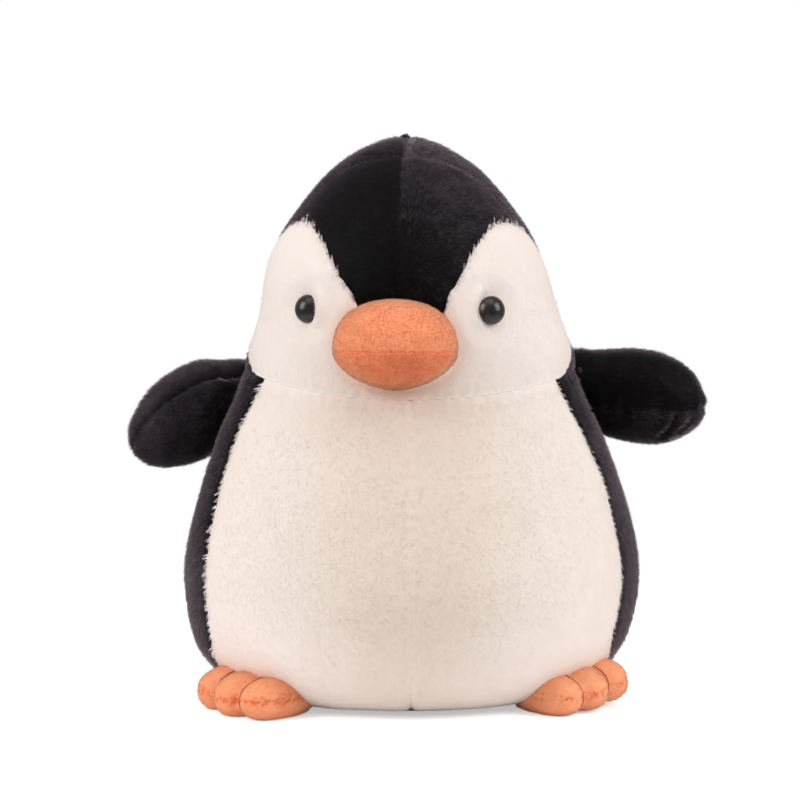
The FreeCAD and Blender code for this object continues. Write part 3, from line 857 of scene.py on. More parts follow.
# Round each eye the cloth dips, rises in a rim on the inner side and swells beyond it. Its pile is short
# there and longer on the rim, and none grows in the spared circle, which is wider outwards.
eyeSocket = {
    "rim": (8.0, 3.2),
    "longest": (7.5, 2.6),
    "dipWidth": 8.5,
    "swell": 0.7,
    "swollen": (15.0, 6.0),
    "trim": 0.55,
    "trimWidth": 7.5,
    "spared": 5.0,
    "sparedShift": 0.9,
}
eyeRims = {
    "left": {"rise": 1.9, "grow": 1.2, "dip": 1.5},
    "right": {"rise": 2.6, "grow": 0.9, "dip": 2.0},
}
beakLow, beakHigh = (nominal(corner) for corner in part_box("beak_upper_panel"))
beak = {
    "middle": np.array([nodeMiddle("beak_upper_panel")[0], 0.0, beakLow[2]]),
    "halfWidth": 25.5,
    "rise": 21.0,
    "fall": 16.5,
    "dip": 1.3,
    "dipWidth": 0.13,
    "trim": 0.45,
    "trimWidth": 0.12,
    "bare": 0.93,
}


# How far out a point is on the beak's outline: 0 at its middle and 1 on it.
def beakShare(points):
    across = (points[..., 0] - beak["middle"][0]) / beak["halfWidth"]
    up = points[..., 2] - beak["middle"][2]
    up = np.where(up > 0, up / beak["rise"], up / beak["fall"])
    return np.where(points[..., 1] < 0, np.hypot(across, up), 9.0)


# Bells of the distance from each eye and from the beak's outline. The rims rise on the eyes' inner sides.
def faceRelief(points):
    lift = np.zeros(points.shape[:-1])
    trim = np.ones(points.shape[:-1])
    for sideName, middle in eyeMiddles.items():
        rim = eyeRims[sideName]
        away = np.linalg.norm(points - middle, axis=-1)
        inner = smoothstep(-1.0, 4.0, (middle[0] - points[..., 0]) * sides[sideName])
        rimAt, rimWidth = eyeSocket["rim"]
        longestAt, longestWidth = eyeSocket["longest"]
        swollenAt, swollenWidth = eyeSocket["swollen"]
        lift += rim["rise"] * inner * bell(away - rimAt, rimWidth)
        trim *= 1 + rim["grow"] * inner * bell(away - longestAt, longestWidth)
        lift -= rim["dip"] * bell(away, eyeSocket["dipWidth"])
        lift += eyeSocket["swell"] * bell(away - swollenAt, swollenWidth)
        trim *= 1 - eyeSocket["trim"] * bell(away, eyeSocket["trimWidth"])
    share = beakShare(points)
    lift -= beak["dip"] * bell(share - 1.0, beak["dipWidth"])
    trim *= 1 - beak["trim"] * bell(share - 1.0, beak["trimWidth"])
    return lift, trim


# No fibre is rooted under the beak or an eye.
def clearOfFace(points):
    kept = beakShare(points) > beak["bare"]
    for sideName, middle in eyeMiddles.items():
        outer = np.sign(points[..., 0] - middle[0]) * sides[sideName]
        spared = eyeSocket["spared"] + eyeSocket["sparedShift"] * outer
        kept &= np.linalg.norm(points - middle, axis=-1) > spared
    return kept


# The nap's direction: down and a little outwards, away from the beak, or back over the head.
def napDown(roots):
    return np.tile([0.0, 0.0, -1.0], (len(roots), 1)) + [0.25, 0, 0] * np.sign(roots[:, :1])


def napOut(roots):
    away = roots - [beak["middle"][0], -40.0, 165.0]
    away[:, 2] -= 14.0
    return away


def napBack(roots):
    return np.stack([roots[:, 0] * 0.6, np.full(len(roots), 30.0), np.full(len(roots), -14.0)], -1)


seam = {
    "plain": {"depth": 1.0, "width": 2.0, "gather": 0.12, "pitch": 6.0},
    "hidden": {"depth": 0.3, "width": 1.6, "gather": 0.08, "pitch": 6.0, "shorten": 0.0},
    "border": {
        "depth": 0.4,
        "width": 2.2,
        "gather": 0.1,
        "pitch": 7.0,
        "shorten": 0.0,
        "flare": 1.9,
        "grow": 2.3,
        "clump": 0.8,
    },
    "under": {
        "depth": 0.8,
        "width": 2.0,
        "gather": 0.1,
        "pitch": 7.0,
        "shorten": 0.3,
        "flare": 0.6,
        "grow": 0.15,
        "clump": 0.4,
    },
    "neck": {
        "depth": 0.5,
        "width": 2.4,
        "gather": 0.12,
        "pitch": 6.5,
        "shorten": 0.4,
        "tone": 0.2,
        "toneWidth": 0.7,
    },
    "belly": {
        "depth": 1.5,
        "least": 0.25,
        "fade": (34.0, 12.0),
        "width": 1.2,
        "gather": 0.12,
        "pitch": 5.5,
    },
}
seam["fineBorder"] = {**seam["border"], "grow": 1.3, "flare": 1.3, "clump": 0.55}


# How the trunk's tones vary: mostly painted light and shade, with the belly's streaks and some mottling as
# the cloth's own. A pair is where a change begins and ends, in mm up, across or back.
toning = {
    "belly": {"streaks": 0.1, "low": 0.4, "below": (15.0, 60.0), "middle": 0.64, "width": 40.0},
    "cheek": {"all": 0.06, "chin": 0.75, "width": 30.0, "above": (142.0, 168.0)},
    "foreheadLeft": {"all": -0.1, "crown": 0.32, "above": (196.0, 236.0), "slant": 0.35},
    "foreheadRight": {"all": -0.36, "mottling": 0.12, "grain": 9.0},
    "crown": {"all": -0.2, "front": (-14.0, 30.0), "left": 0.85, "right": 0.24},
    "crownRim": {"pale": 0.3, "across": (35.0, 62.0)},
    "side": {"all": -0.02, "front": (-6.0, 25.0), "pale": 0.3},
    "sideUpwards": {
        "left": {"dark": 0.4, "above": (100.0, 135.0)},
        "right": {"dark": 0.62, "above": (55.0, 95.0)},
    },
}


# The white is deeper in a bell down the middle of the front, painted shade where the side lamps reach least,
# paler low down, painted light that lifts the shade near the floor, and faintly streaked upwards.
def bellyStreaksAndPaintedLight(points):
    tone = toning["belly"]
    streaks = cloudNoise(points * [1.0, 1.0, 0.14], 4.0, 88)
    low = 1 - smoothstep(*tone["below"], points[..., 2])
    middle = tone["middle"] * bell(points[..., 0], tone["width"])
    return tone["streaks"] * streaks + tone["low"] * low - middle


# A cheek is deeper under the beak, painted shade: a bell across, fading upwards.
def cheekToneAndPaintedShade(points):
    tone = toning["cheek"]
    chin = bell(points[..., 0] - beak["middle"][0], tone["width"])
    return tone["all"] - tone["chin"] * chin * (1 - smoothstep(*tone["above"], points[..., 2]))


# The cap's left half is paler towards the crown, painted sheen, and its right half is darker, painted shade
# where its nap lies away from the light, and mottled.
def foreheadPaintedLight(sideName):
    left, right = toning["foreheadLeft"], toning["foreheadRight"]

    def leftPaintedSheen(points):
        slanted = points[..., 2] + left["slant"] * points[..., 0]
        return left["all"] + left["crown"] * smoothstep(*left["above"], slanted)

    def rightPaintedShadeAndMottling(points):
        return right["all"] + right["mottling"] * cloudNoise(points, right["grain"], 47)

    return leftPaintedSheen if sideName == "left" else rightPaintedShadeAndMottling


# The back of the head is pale where it comes round to the front on the left, painted sheen, and darker there
# on the right, painted shade, apart from its rim, which is paler with painted rim sheen.
def crownPaintedLight(sideName):
    tone, crownRim = toning["crown"], toning["crownRim"]

    def tones(points):
        front = 1 - smoothstep(*tone["front"], points[..., 1])
        rim = smoothstep(*crownRim["across"], -points[..., 0])
        paler = tone["left"] if sideName == "left" else crownRim["pale"] * rim - tone["right"]
        return tone["all"] + front * paler

    return tones


# The side strips lie pale in front of the wings, painted sheen where they turn away from view, and darken
# upwards, painted shade under the wings; the back is darker.
def sidePaintedLight(sideName):
    tone, upwards = toning["side"], toning["sideUpwards"][sideName]

    def tones(points):
        front = 1 - smoothstep(*tone["front"], points[..., 1])
        darker = upwards["dark"] * smoothstep(*upwards["above"], points[..., 2])
        return tone["all"] + front * (tone["pale"] - darker)

    return tones


# The belly's seams, with its side border by name.
def bellySeams(side):
    return {"start": seam["belly"], "end": seam[side], "near": seam["plain"], "far": seam["neck"]}


# A panel's place, its grid's rows and columns, its look, its seams, and its left one's where they differ.
trunkPanels = {
    "forehead_panel": {
        "place": foreheadPlace,
        "grid": (60, 50),
        "look": "black",
        "edges": {"near": seam["under"], "far": seam["hidden"], "start": seam["hidden"]},
        "leftEdges": {"near": seam["under"], "far": seam["plain"], "start": seam["hidden"]},
        "nap": napBack,
        "face": True,
        "tones": foreheadPaintedLight,
    },
    "cheek_panel": {
        "place": cheekPlace,
        "grid": (90, 50),
        "look": "white",
        "edges": {"near": seam["neck"], "far": seam["border"]},
        "nap": napOut,
        "face": True,
        "tones": lambda sideName: cheekToneAndPaintedShade,
    },
    "head_back_panel": {
        "place": headBackPlace,
        "grid": (90, 70),
        "look": "black",
        "edges": {"near": seam["neck"], "start": seam["hidden"], "end": seam["plain"]},
        "leftEdges": {"near": seam["neck"], "start": seam["under"], "end": seam["plain"]},
        "nap": napDown,
        "tones": crownPaintedLight,
    },
    "belly_panel": {
        "place": lambda side: bodyPlace(side, False),
        "grid": (70, 100),
        "look": "white",
        "edges": bellySeams("border"),
        "leftEdges": bellySeams("fineBorder"),
        "nap": napDown,
        "tones": lambda sideName: bellyStreaksAndPaintedLight,
    },
    "back_panel": {
        "place": lambda side: bodyPlace(side, True),
        "grid": (110, 100),
        "look": "black",
        "pile": "back",
        "edges": {"start": seam["under"], "end": seam["plain"], "near": seam["plain"], "far": seam["neck"]},
        "nap": napDown,
        "tones": sidePaintedLight,
    },
}
for index, (kind, panel) in enumerate(trunkPanels.items()):
    for sideName, side in sides.items():
        points = panelGrid(*panel["grid"], panel["place"](side))
        spec = {
            "edges": panel.get(f"{sideName}Edges", panel["edges"]),
            "nap": panel["nap"],
            "thick": trunk["wall"],
            "lump": 1.1,
            "lumpGrain": 45.0,
            "tones": panel["tones"](sideName),
        }
        isFace = panel.get("face", False)
        made = sewnPanel(
            f"{kind}_{sideName}_plush",
            points,
            spec,
            piles[panel.get("pile", panel["look"])],
            pileMaterials[panel["look"]],
            [0.0, -3.0, 110.0],
            faceRelief if isFace else None,
            clearOfFace if isFace else None,
            100 + 2 * index + side,
        )
        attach(made, "trunk")
        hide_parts(f"{kind}_{sideName}")
print("trunk panels done")


# The vertices after the indexed ones round their rings, and the faces between neighbouring rings.
def ringFaces(index):
    turned = np.roll(index, -1, axis=1)
    return turned, np.stack([index[:-1], turned[:-1], turned[1:], index[1:]], -1).reshape(-1, 4)


# Lumps: each point goes out from the middle by a slow noise.
def lumpy(rings, height, size, seed, middle):
    return rings + height * cloudNoise(rings, size, seed)[..., None] * unit(rings - middle)


# A closed form from rings of points: each row is a ring, and the rows' ends close on their middles.
def closedForm(name, rings, material):
    rows, columns = rings.shape[:2]
    index = np.arange(rows * columns).reshape(rows, columns)
    turned, quads = ringFaces(index)
    bottom = np.stack([np.full(columns, rows * columns), turned[0], index[0]], -1)
    top = np.stack([np.full(columns, rows * columns + 1), index[-1], turned[-1]], -1)
    vertices = np.concatenate([rings.reshape(-1, 3), rings[:1].mean(1), rings[-1:].mean(1)])
    a, b, c = vertices[quads[:, 0]], vertices[quads[:, 1]], vertices[quads[:, 2]]
    if dot(np.cross(b - a, c - a), a - vertices.mean(0)).sum() < 0:
        quads, bottom, top = quads[:, ::-1], bottom[:, ::-1], top[:, ::-1]
    s, t = crossed(np.linspace(0.02, 0.98, rows), np.arange(columns) / columns)
    places = np.concatenate([np.stack([t, s], -1).reshape(-1, 2), [[0.5, 0.0], [0.5, 1.0]]])

    # The faces' places on the map. Those over the back join go on past its end instead of back to its start.
    def unwrap(faces):
        mapped = places[faces]
        wraps = np.ptp(mapped[:, :, 0], axis=1) > 0.6
        mapped[wraps, :, 0] += np.where(mapped[wraps, :, 0] < 0.3, 1.0, 0.0)
        return mapped * [0.94, 1.0]

    groups = [quads, bottom, top]
    tones = np.full(len(vertices), 0.5)
    return makeObject(name, vertices, groups, [unwrap(g) for g in groups], tones, None, material)


# A spun thread: its tube's sides, its plies, how deep the grooves between them are and how slowly they turn.
spun = {"sides": 9, "plies": 3, "lobes": 0.18, "twist": 3.2}


# A thread along each path: a tube whose section is a circle with a cosine lobe for each ply, turning with
# the distance along it.
def makeThread(name, paths, radius, material):
    allVertices, allFaces, allMaps = [], [], []
    around = np.arange(spun["sides"]) / spun["sides"] * 2 * np.pi
    start = 0
    for number, path in enumerate(paths):
        path = np.array(path, float)
        run = np.concatenate([[0], np.cumsum(np.linalg.norm(np.diff(path, axis=0), axis=1))])
        forward = unit(np.gradient(path, axis=0))
        reference = [0.31, 0.17, 0.93] if abs(forward[0, 2]) < 0.8 else [0.93, 0.31, 0.17]
        first = unit(np.cross(forward, reference))
        second = np.cross(forward, first)
        twist = run[:, None] / (radius * spun["twist"])
        lobe = radius * (1 - spun["lobes"] + spun["lobes"] * np.cos(spun["plies"] * (around - twist)))
        ring = first[:, None] * np.cos(around)[None, :, None]
        ring = ring + second[:, None] * np.sin(around)[None, :, None]
        rings = path[:, None] + ring * lobe[..., None]
        count = len(path)
        total = count * spun["sides"]
        index = np.arange(total).reshape(count, spun["sides"]) + start
        turned, quads = ringFaces(index)
        ends = np.full(spun["sides"], start + total)
        # A cap's triangle has its last corner twice, so that quads and caps fit one table.
        caps = np.concatenate(
            [
                np.stack([turned[0], index[0], ends, ends], -1),
                np.stack([index[-1], turned[-1], ends + 1, ends + 1], -1),
            ]
        )
        faces = np.concatenate([quads, caps])
        low = number / len(paths)
        s = np.repeat(np.linspace(0.03, 0.97, count), spun["sides"])
        t = np.tile(np.arange(spun["sides"]) / (spun["sides"] + 1), count)
        places = np.concatenate([np.stack([s, low + t / len(paths)], -1), [[0.0, low], [1.0, low]]])
        allVertices.append(np.concatenate([rings.reshape(-1, 3), path[:1], path[-1:]]))
        allFaces.append(faces)
        allMaps.append(places[faces - start])
        start += total + 2
    faces = np.concatenate(allFaces)
    mapped = np.concatenate(allMaps)
    four = faces[:, 2] != faces[:, 3]
    groups, maps = [faces[four], faces[~four][:, :3]], [mapped[four], mapped[~four][:, :3]]
    vertices = np.concatenate(allVertices)
    made = makeObject(name, vertices, groups, maps, np.full(len(vertices), 0.5), None, material)
    print(f"{name}: {len(paths)} stitches")
    return made


# A stitch over a seam: it comes up out of the cloth at one end, bends over and goes down at the other.
def stitchPath(middle, along, up, length, rise, count=7):
    t = np.linspace(-1, 1, count)[:, None]
    return middle + along * t * length / 2 + up * (rise * (1 - t**2) - 0.5 * t**6)


# A material whose colour goes from dark to light as a noise goes between two levels.
def mottledMaterial(name, noise, levels, dark, light, **constants):
    material, shader, place = newMaterial(name, **constants)
    colour = grain(place, *noise).between(*levels).blend(dark, light)
    place.put(shader.inputs["Base Color"], colour)
    return material, shader, place


# Thread: a spun colour with a fine darker fleck.
def threadMaterial(name, dark, light):
    look = {"Roughness": 0.6, "Sheen_Weight": 0.2}
    return mottledMaterial(name, (0.8, 2.0), (0.3, 0.7), dark, light, **look)[0]


# Filling: a pale wool whose lumps show.
wool = {"Roughness": 0.95, "Sheen_Weight": 0.3, "Sheen_Roughness": 0.6}
woolColours = (linear(214, 210, 202), linear(246, 244, 238))
filling = mottledMaterial("fillingWool", (6.0, 4.0), (0.25, 0.75), *woolColours, **wool)[0]
blackThread = threadMaterial("blackSpun", linear(5, 4, 6), linear(26, 24, 28))
# The orange thread is darker than the velour, partly as painted shade in the toe grooves it lies in.
orangeThread = threadMaterial("orangeSpun", linear(178, 84, 50), linear(214, 118, 80))


# The filling is the trunk's own rings taken inwards, by more where a slow noise is high.
stuffing = {"depth": 7.5, "lumps": 2.2, "grain": 16.0, "middle": (0.0, -2.0), "waist": 100, "tilt": 120}
rows = np.linspace(runAtHeight(1.0), 0.985, 70)[:, None]
around = np.linspace(0, 2 * np.pi, 96, endpoint=False)[None, :]
trunkRings = trunkPoint(around + 0 * rows, rows + 0 * around)
outwards = trunkRings * [1, 1, 0] - [*stuffing["middle"], 0.0]
outwards = unit(outwards)
outwards[..., 2] = (trunkRings[..., 2] - stuffing["waist"]) / stuffing["tilt"]
inwards = stuffing["depth"] + stuffing["lumps"] * cloudNoise(trunkRings, stuffing["grain"], 71)
stuffed = trunkRings - unit(outwards) * inwards[..., None]
bodyStuffing = closedForm("body_stuffing_wool", stuffed, filling)
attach(bodyStuffing, "trunk")
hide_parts("body_stuffing")


# The base panel: an oval inside the hem, almost flat and turned up at its rim. The toy's weight presses its
# pile flat.
basePiece = {
    "hemHeight": 3.0,
    "inset": 6.5,
    "lowest": 0.5,
    "rimRise": 1.4,
    "rimPower": 8,
    "thick": 1.3,
    "pile": {
        **blackPlush,
        "length": 1.1,
        "lean": 84.0,
        "leanSwing": 4.0,
        "stray": 0.5,
        "gather": 0.1,
        "density": 1.0,
    },
}
s, t = crossed(np.linspace(0, 2 * np.pi, 120), np.linspace(0.02, 1, 30))
hem = ovalAt(runAtHeight(basePiece["hemHeight"]))
base = np.stack(
    [
        (hem[1] - basePiece["inset"]) * t * np.sin(s),
        -hem[3] - (hem[2] - basePiece["inset"]) * t * np.cos(s),
        basePiece["lowest"] + basePiece["rimRise"] * t ** basePiece["rimPower"],
    ],
    -1,
)
basePanel = sewnPanel(
    "base_panel_plush",
    base,
    {"edges": {}, "nap": lambda roots: roots * [1, 1, 0] + [0.0, 2.0, 0.0], "thick": basePiece["thick"]},
    basePiece["pile"],
    pileMaterials["black"],
    [0.0, 0.0, 50.0],
    seed=301,
)
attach(basePanel, "trunk")
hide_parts("base_panel")
print("base done")


# Each wing's frame starts from its joint: along towards the tip, front across it and up towards its upper
# edge. The stations are distance along, half height, half thickness and rise of the middle. The bend is
# two distances along it, whose places are worked out but not used. Rough is what its seam adds.
wings = {
    "left": {
        "droop": 3.3,
        "forward": 4.0,
        "start": (-12.2, -2.6),
        "seamTurn": 81.0,
        # The front is darker, painted shade, and the back is paler towards the tip, painted sheen.
        "tones": {"front": (-0.28, -0.2), "back": (-0.1, 0.18)},
        "seamDepth": 0.9,
        "bend": (4.0, 23.0),
        "rough": {"gather": 0.3},
        "knotSink": -0.5,
        "creases": [((0.71, -18.3), (0.626, -53.2), 1.5, 1.5), ((0.806, -27.8), (0.719, -48.9), 0.7, 1.2)],
        "fade": (30.0, 52.0),
        "stations": [
            (-14.0, 15.0, 12.0, 1.0),
            (-6.0, 17.0, 14.0, 2.0),
            (0.0, 17.0, 15.0, 1.4),
            (8.0, 18.4, 16.0, 1.0),
            (22.0, 19.8, 17.0, 0.0),
            (31.0, 19.0, 16.4, -0.6),
            (39.0, 16.4, 14.2, -1.3),
            (46.0, 11.8, 10.4, -2.0),
            (49.8, 6.8, 6.0, -2.6),
            (51.2, 3.4, 3.0, -2.7),
            (51.7, 0.4, 0.4, -2.7),
        ],
    },
    "right": {
        "droop": 19.5,
        "forward": 22.0,
        "start": (-10.2, -12.2),
        "seamTurn": -41.0,
        # The back, the upper lobe, is much paler, painted sheen where it is lit; the front pales towards the
        # tip.
        "tones": {"front": (0.1, 0.28), "back": (0.46, 0.42)},
        "seamDepth": 3.0,
        "bend": (4.0, 24.0),
        # The seam's dark tone is a painted shadow in the crease.
        "rough": {"gather": 0.2, "pitch": 6.5, "clump": 0.5, "tone": -0.3, "toneWidth": 1.8},
        "knotSink": 2.5,
        "creases": [],
        "fade": (66.0, 50.0),
        "stations": [
            (-14.0, 15.0, 12.0, 1.0),
            (-6.0, 17.3, 14.0, 1.8),
            (0.0, 18.4, 15.0, 2.3),
            (7.0, 19.7, 16.0, 4.1),
            (16.0, 20.2, 16.5, 4.6),
            (25.0, 19.6, 15.6, 3.9),
            (33.0, 17.8, 13.8, 3.1),
            (41.0, 13.6, 10.8, 1.9),
            (46.5, 8.8, 6.6, 1.2),
            (48.8, 4.6, 3.4, 0.6),
            (49.5, 0.4, 0.4, 0.4),
        ],
    },
}
wingPile = {**blackPlush, "length": 2.6, "swirl": 0.6}
# What the wings share: their middle along, where their painted light and shade changes, the cloth and pile
# over their filling, the sewing's share of the way along, its depth under the seam, its waves, and the
# knot's place and turns.
wingShape = {
    "middle": 20.0,
    "toned": (5.0, 48.0),
    "wall": 4.5,
    "threadShare": 0.2,
    "threadSink": 1.2,
    "threadWave": 1.6,
    "threadWaves": 17,
    "knot": (0.13, 31.0),
    "knotTurns": 2.3,
}


# The side's own axes, turned by the wing's droop and then forwards.
def wingFrame(sideName, side, wing):
    turned = turnMatrix(2, -side * wing["forward"]) @ turnMatrix(1, side * wing["droop"])
    along = turned @ [side, 0, 0]
    up = turned @ [0, 0, 1]
    front = turned @ [0, -1, 0]
    hinge = nominal(joints[f"wing_{sideName}_flap"]["pos_m"])
    start = hinge + along * wing["start"][0] + up * wing["start"][1]
    return start, along, front, up


# An ellipse at each station: front by the cosine of the angle and up by its sine. Shrink takes it inwards.
def wingPoints(frameOf, wing, s, angle, shrink=0.0):
    stations = np.array(wing["stations"])
    run = np.concatenate([[0], np.cumsum(np.hypot(*np.diff(stations[:, :2], axis=0).T))])
    at = smoothThrough(run / run[-1], stations)(s)
    start, along, front, up = frameOf
    height = np.maximum(at[..., 1] - shrink, 0.2)
    thick = np.maximum(at[..., 2] - shrink, 0.2)
    distance = np.minimum(at[..., 0], stations[-1, 0] - shrink)
    sideways = np.cos(angle) * thick
    upwards = at[..., 3] + np.sin(angle) * height
    return start + along * distance[..., None] + front * sideways[..., None] + up * upwards[..., None]


# Creases: each is a straight dip between two places on the wing, with a soft swelling beside it.
def creaseRelief(frameOf, wing):
    ends = []
    for (s0, angle0), (s1, angle1), depth, width in wing["creases"]:
        places = wingPoints(frameOf, wing, np.array([s0, s1]), np.radians([angle0, angle1]))
        ends.append((*places, depth, width))

    def relief(points):
        lift = np.zeros(points.shape[:2])
        for first, last, depth, width in ends:
            span = last - first
            share = np.clip(dot(points - first, span) / dot(span, span), 0, 1)
            away = np.linalg.norm(points - first - share[..., None] * span, axis=-1)
            lift -= depth * bell(away, width)
            lift += 0.5 * depth * bell(away - 2.4 * width, 1.3 * width)
        return lift, np.ones(points.shape[:2])

    return relief


for sideName, side in sides.items():
    wing = wings[sideName]
    frameOf = wingFrame(sideName, side, wing)
    start, along, front, up = frameOf
    inside = start + along * wingShape["middle"]
    rootSpot, bladeSpot = ((start + along * distance) * mm for distance in wing["bend"])
    seamAt = np.radians(90 + wing["seamTurn"])
    wingSeam = {
        "depth": wing["seamDepth"],
        "width": 3.0,
        "pitch": 8.0,
        "shorten": 0.2,
        "fade": wing["fade"],
        **wing["rough"],
    }
    spec = {
        "edges": {"near": wingSeam, "far": wingSeam},
        "nap": lambda roots, along=along: np.tile(along, (len(roots), 1)) + [0.0, 0.0, -0.25],
        "thick": 2.0,
        "lump": 1.3,
        "lumpGrain": 22.0,
    }
    for half, first in (("front", seamAt - np.pi), ("back", seamAt)):
        s, t = crossed(np.linspace(0.0, 0.995, 90), np.linspace(first, first + np.pi, 70))
        points = wingPoints(frameOf, wing, s, t)
        # Each half's painted light and shade runs from low at the root to high towards the tip.
        low, high = wing["tones"][half]
        tipwards = lambda points: smoothstep(*wingShape["toned"], dot(points - start, along))
        tones = lambda points: low + (high - low) * tipwards(points)
        made = sewnPanel(
            f"wing_{sideName}_{half}_plush",
            points,
            {**spec, "tones": tones},
            wingPile,
            pileMaterials["black"],
            inside,
            creaseRelief(frameOf, wing),
            seed=400 + 10 * side + (half == "back"),
        )
        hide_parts(f"wing_{sideName}_{half}_panel")
        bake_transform(made)
    s, t = crossed(np.linspace(0.08, 0.99, 40), np.arange(60) / 60 * 2 * np.pi)
    rings = lumpy(wingPoints(frameOf, wing, s, t, wingShape["wall"]), 0.9, 8.0, 81, inside)
    made = closedForm(f"wing_{sideName}_wool", rings, filling)
    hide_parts(f"wing_{sideName}_stuffing")
    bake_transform(made)
    # The thread goes round the root in a wave, and ends in a small coiled knot.
    turns = np.linspace(0, 2 * np.pi * 1.04, 150)
    sew = wingShape["threadWave"] * np.sin(turns * wingShape["threadWaves"])
    shares = np.full(len(turns), wingShape["threadShare"])
    rooted = wingPoints(frameOf, wing, shares, turns, wing["seamDepth"] + wingShape["threadSink"])
    paths = [rooted + along * sew[:, None]]
    coil = np.linspace(0, 2 * np.pi * wingShape["knotTurns"], 60)
    reach = 0.3 + 0.9 * coil / coil[-1] + 0.25 * np.sin(coil * 1.7)
    knotShare, knotAngle = wingShape["knot"]
    knotAt = wingPoints(frameOf, wing, np.array(knotShare), np.radians(knotAngle), wing["knotSink"])
    knot = along * 0.7 * np.cos(coil)[:, None] + up * np.sin(coil)[:, None]
    paths.append(knotAt + knot * reach[:, None] + front * (0.4 + 0.5 * np.sin(coil * 1.5))[:, None])
    made = makeThread(f"wing_{sideName}_sewing", paths, 0.45, blackThread)
    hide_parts(f"wing_{sideName}_thread")
    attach(made, "trunk")
print("wings done")


# A foot's frame starts on its joint: forward along its middle toe, sideways towards its inner toe, and up.
# Each toe is its place sideways and forward, its fan in degrees, and its half height and half width. The
# bend is two distances forward, whose places are worked out but not used.
feet = {
    "left": {
        # Both feet are one velour: the left's higher tone shift is painted light that lifts the shade on it.
        "toneShift": 0.46,
        "turn": 50.0,
        "roll": 5.0,
        "moved": (3.8, 7.0),
        "toes": [
            (-13.6, 20.8, -12.0, 10.3, 10.2),
            (0.0, 22.2, 0.0, 10.0, 10.2),
            (11.8, 19.0, 7.0, 9.4, 9.3),
        ],
    },
    "right": {
        "toneShift": 0.28,
        "turn": 50.0,
        "roll": 0.0,
        "moved": (-1.4, 0.0),
        "toes": [
            (-13.6, 20.8, -12.0, 10.6, 10.2),
            (0.0, 23.9, 0.0, 10.4, 10.2),
            (13.0, 21.3, 7.0, 9.3, 10.2),
        ],
    },
    "toeLength": 19.6,
    "pad": (0.0, 15.0, 0.0),
    "padHalf": (17.5, 15.0, 8.8),
    "height": 7.9,
    "fullness": 2.35,
    "soften": 2.3,
    "tuck": 2.2,
    "rollPivot": 14.0,
    "floorGap": 0.25,
    "middle": (0.0, 25.0, 6.4),
    "seamElevation": np.radians(6.0),
    "poles": 1.565,
    "reach": 46.0,
    "wall": 2.6,
    "bend": (2.0, 32.0),
    "threads": {"between": (-7.4, 7.6), "tilts": (-22, 118), "proud": 0.3},
    "attachment": {"across": (-12, 12, 5), "forward": 6.5, "up": 3.2, "length": 4.0, "rise": 0.6},
}


# From a foot's own frame to the toy's: rolled about a line beside its middle, then turned and placed.
def footWorld(sideName, side, local):
    foot = feet[sideName]
    turn = np.radians(foot["turn"])
    forward = np.array([side * np.sin(turn), -np.cos(turn), 0.0])
    inner = np.array([-side * np.cos(turn), -np.sin(turn), 0.0])
    hinge = nominal(joints[f"foot_{sideName}_flex"]["pos_m"]) * [1, 1, 0] + [*foot["moved"], 0]
    roll = np.radians(foot["roll"])
    beside = local[..., 0] - feet["rollPivot"]
    sideways = beside * np.cos(roll) + local[..., 2] * np.sin(roll) + feet["rollPivot"]
    height = local[..., 2] * np.cos(roll) - beside * np.sin(roll)
    flat = hinge + forward * local[..., 1:2] + inner * sideways[..., None]
    return flat + np.array([0, 0, 1.0]) * height[..., None]


# How far a place is outside the foot: the least of its rounded toes and pad, blended where they meet, and
# never inside the trunk or the floor.
def footField(sideName, side, local, shrink):
    total = None
    lumps = [(toe[:3], (toe[4], feet["toeLength"], toe[3])) for toe in feet[sideName]["toes"]]
    lumps.append((feet["pad"], feet["padHalf"]))
    for (sideways, forward, fan), half in lumps:
        half = np.array(half) - shrink
        c, s = np.cos(np.radians(fan)), np.sin(np.radians(fan))
        dx, dy = local[..., 0] - sideways, local[..., 1] - forward
        dz = local[..., 2] - feet["height"]
        placed = np.stack([c * dx - s * dy, s * dx + c * dy, dz], -1) / half
        power = feet["fullness"]
        size = (np.abs(placed) ** power).sum(-1) ** (1 / power)
        distance = (size - 1) * half.min()
        if total is None:
            total = distance
        else:
            mix = np.clip(0.5 + 0.5 * (distance - total) / feet["soften"], 0, 1)
            total = distance + (total - distance) * mix - feet["soften"] * mix * (1 - mix)
    world = footWorld(sideName, side, local)
    oval = ovalAt(runAtHeight(np.clip(world[..., 2], 0.7, 60)))
    across = world[..., 0] / oval[..., 1]
    across = across / narrowing(across, world[..., 2])
    ratio = np.hypot(across, (world[..., 1] + oval[..., 3]) / oval[..., 2])
    outside = (ratio - 1) * np.minimum(oval[..., 1], oval[..., 2])
    clearOfTrunk = np.maximum(total, -outside - feet["tuck"] + shrink)
    return np.maximum(clearOfTrunk, feet["floorGap"] + shrink - local[..., 2])


# Goes out from a centre along each direction to the first place that is outside, then halves the last step.
def outTo(centre, directions, field, reach):
    steps = np.linspace(0.5, reach, 70)
    flat = directions.reshape(-1, 3)
    values = np.stack([field(centre + flat * step) for step in steps])
    first = np.argmax(values > 0, axis=0)
    first = np.maximum(first, 1)
    low, high = steps[first - 1], steps[first]
    for _ in range(7):
        middle = (low + high) / 2
        isOut = field(centre + flat * middle[:, None]) > 0
        low, high = np.where(isOut, low, middle), np.where(isOut, middle, high)
    return (centre + flat * low[:, None]).reshape(directions.shape)


# Unit directions: azimuth turns from forward, and elevation lifts from level.
def directionsOf(azimuth, elevation):
    flat = np.cos(elevation)
    return np.stack([np.sin(azimuth) * flat, np.cos(azimuth) * flat, np.sin(elevation)], -1)


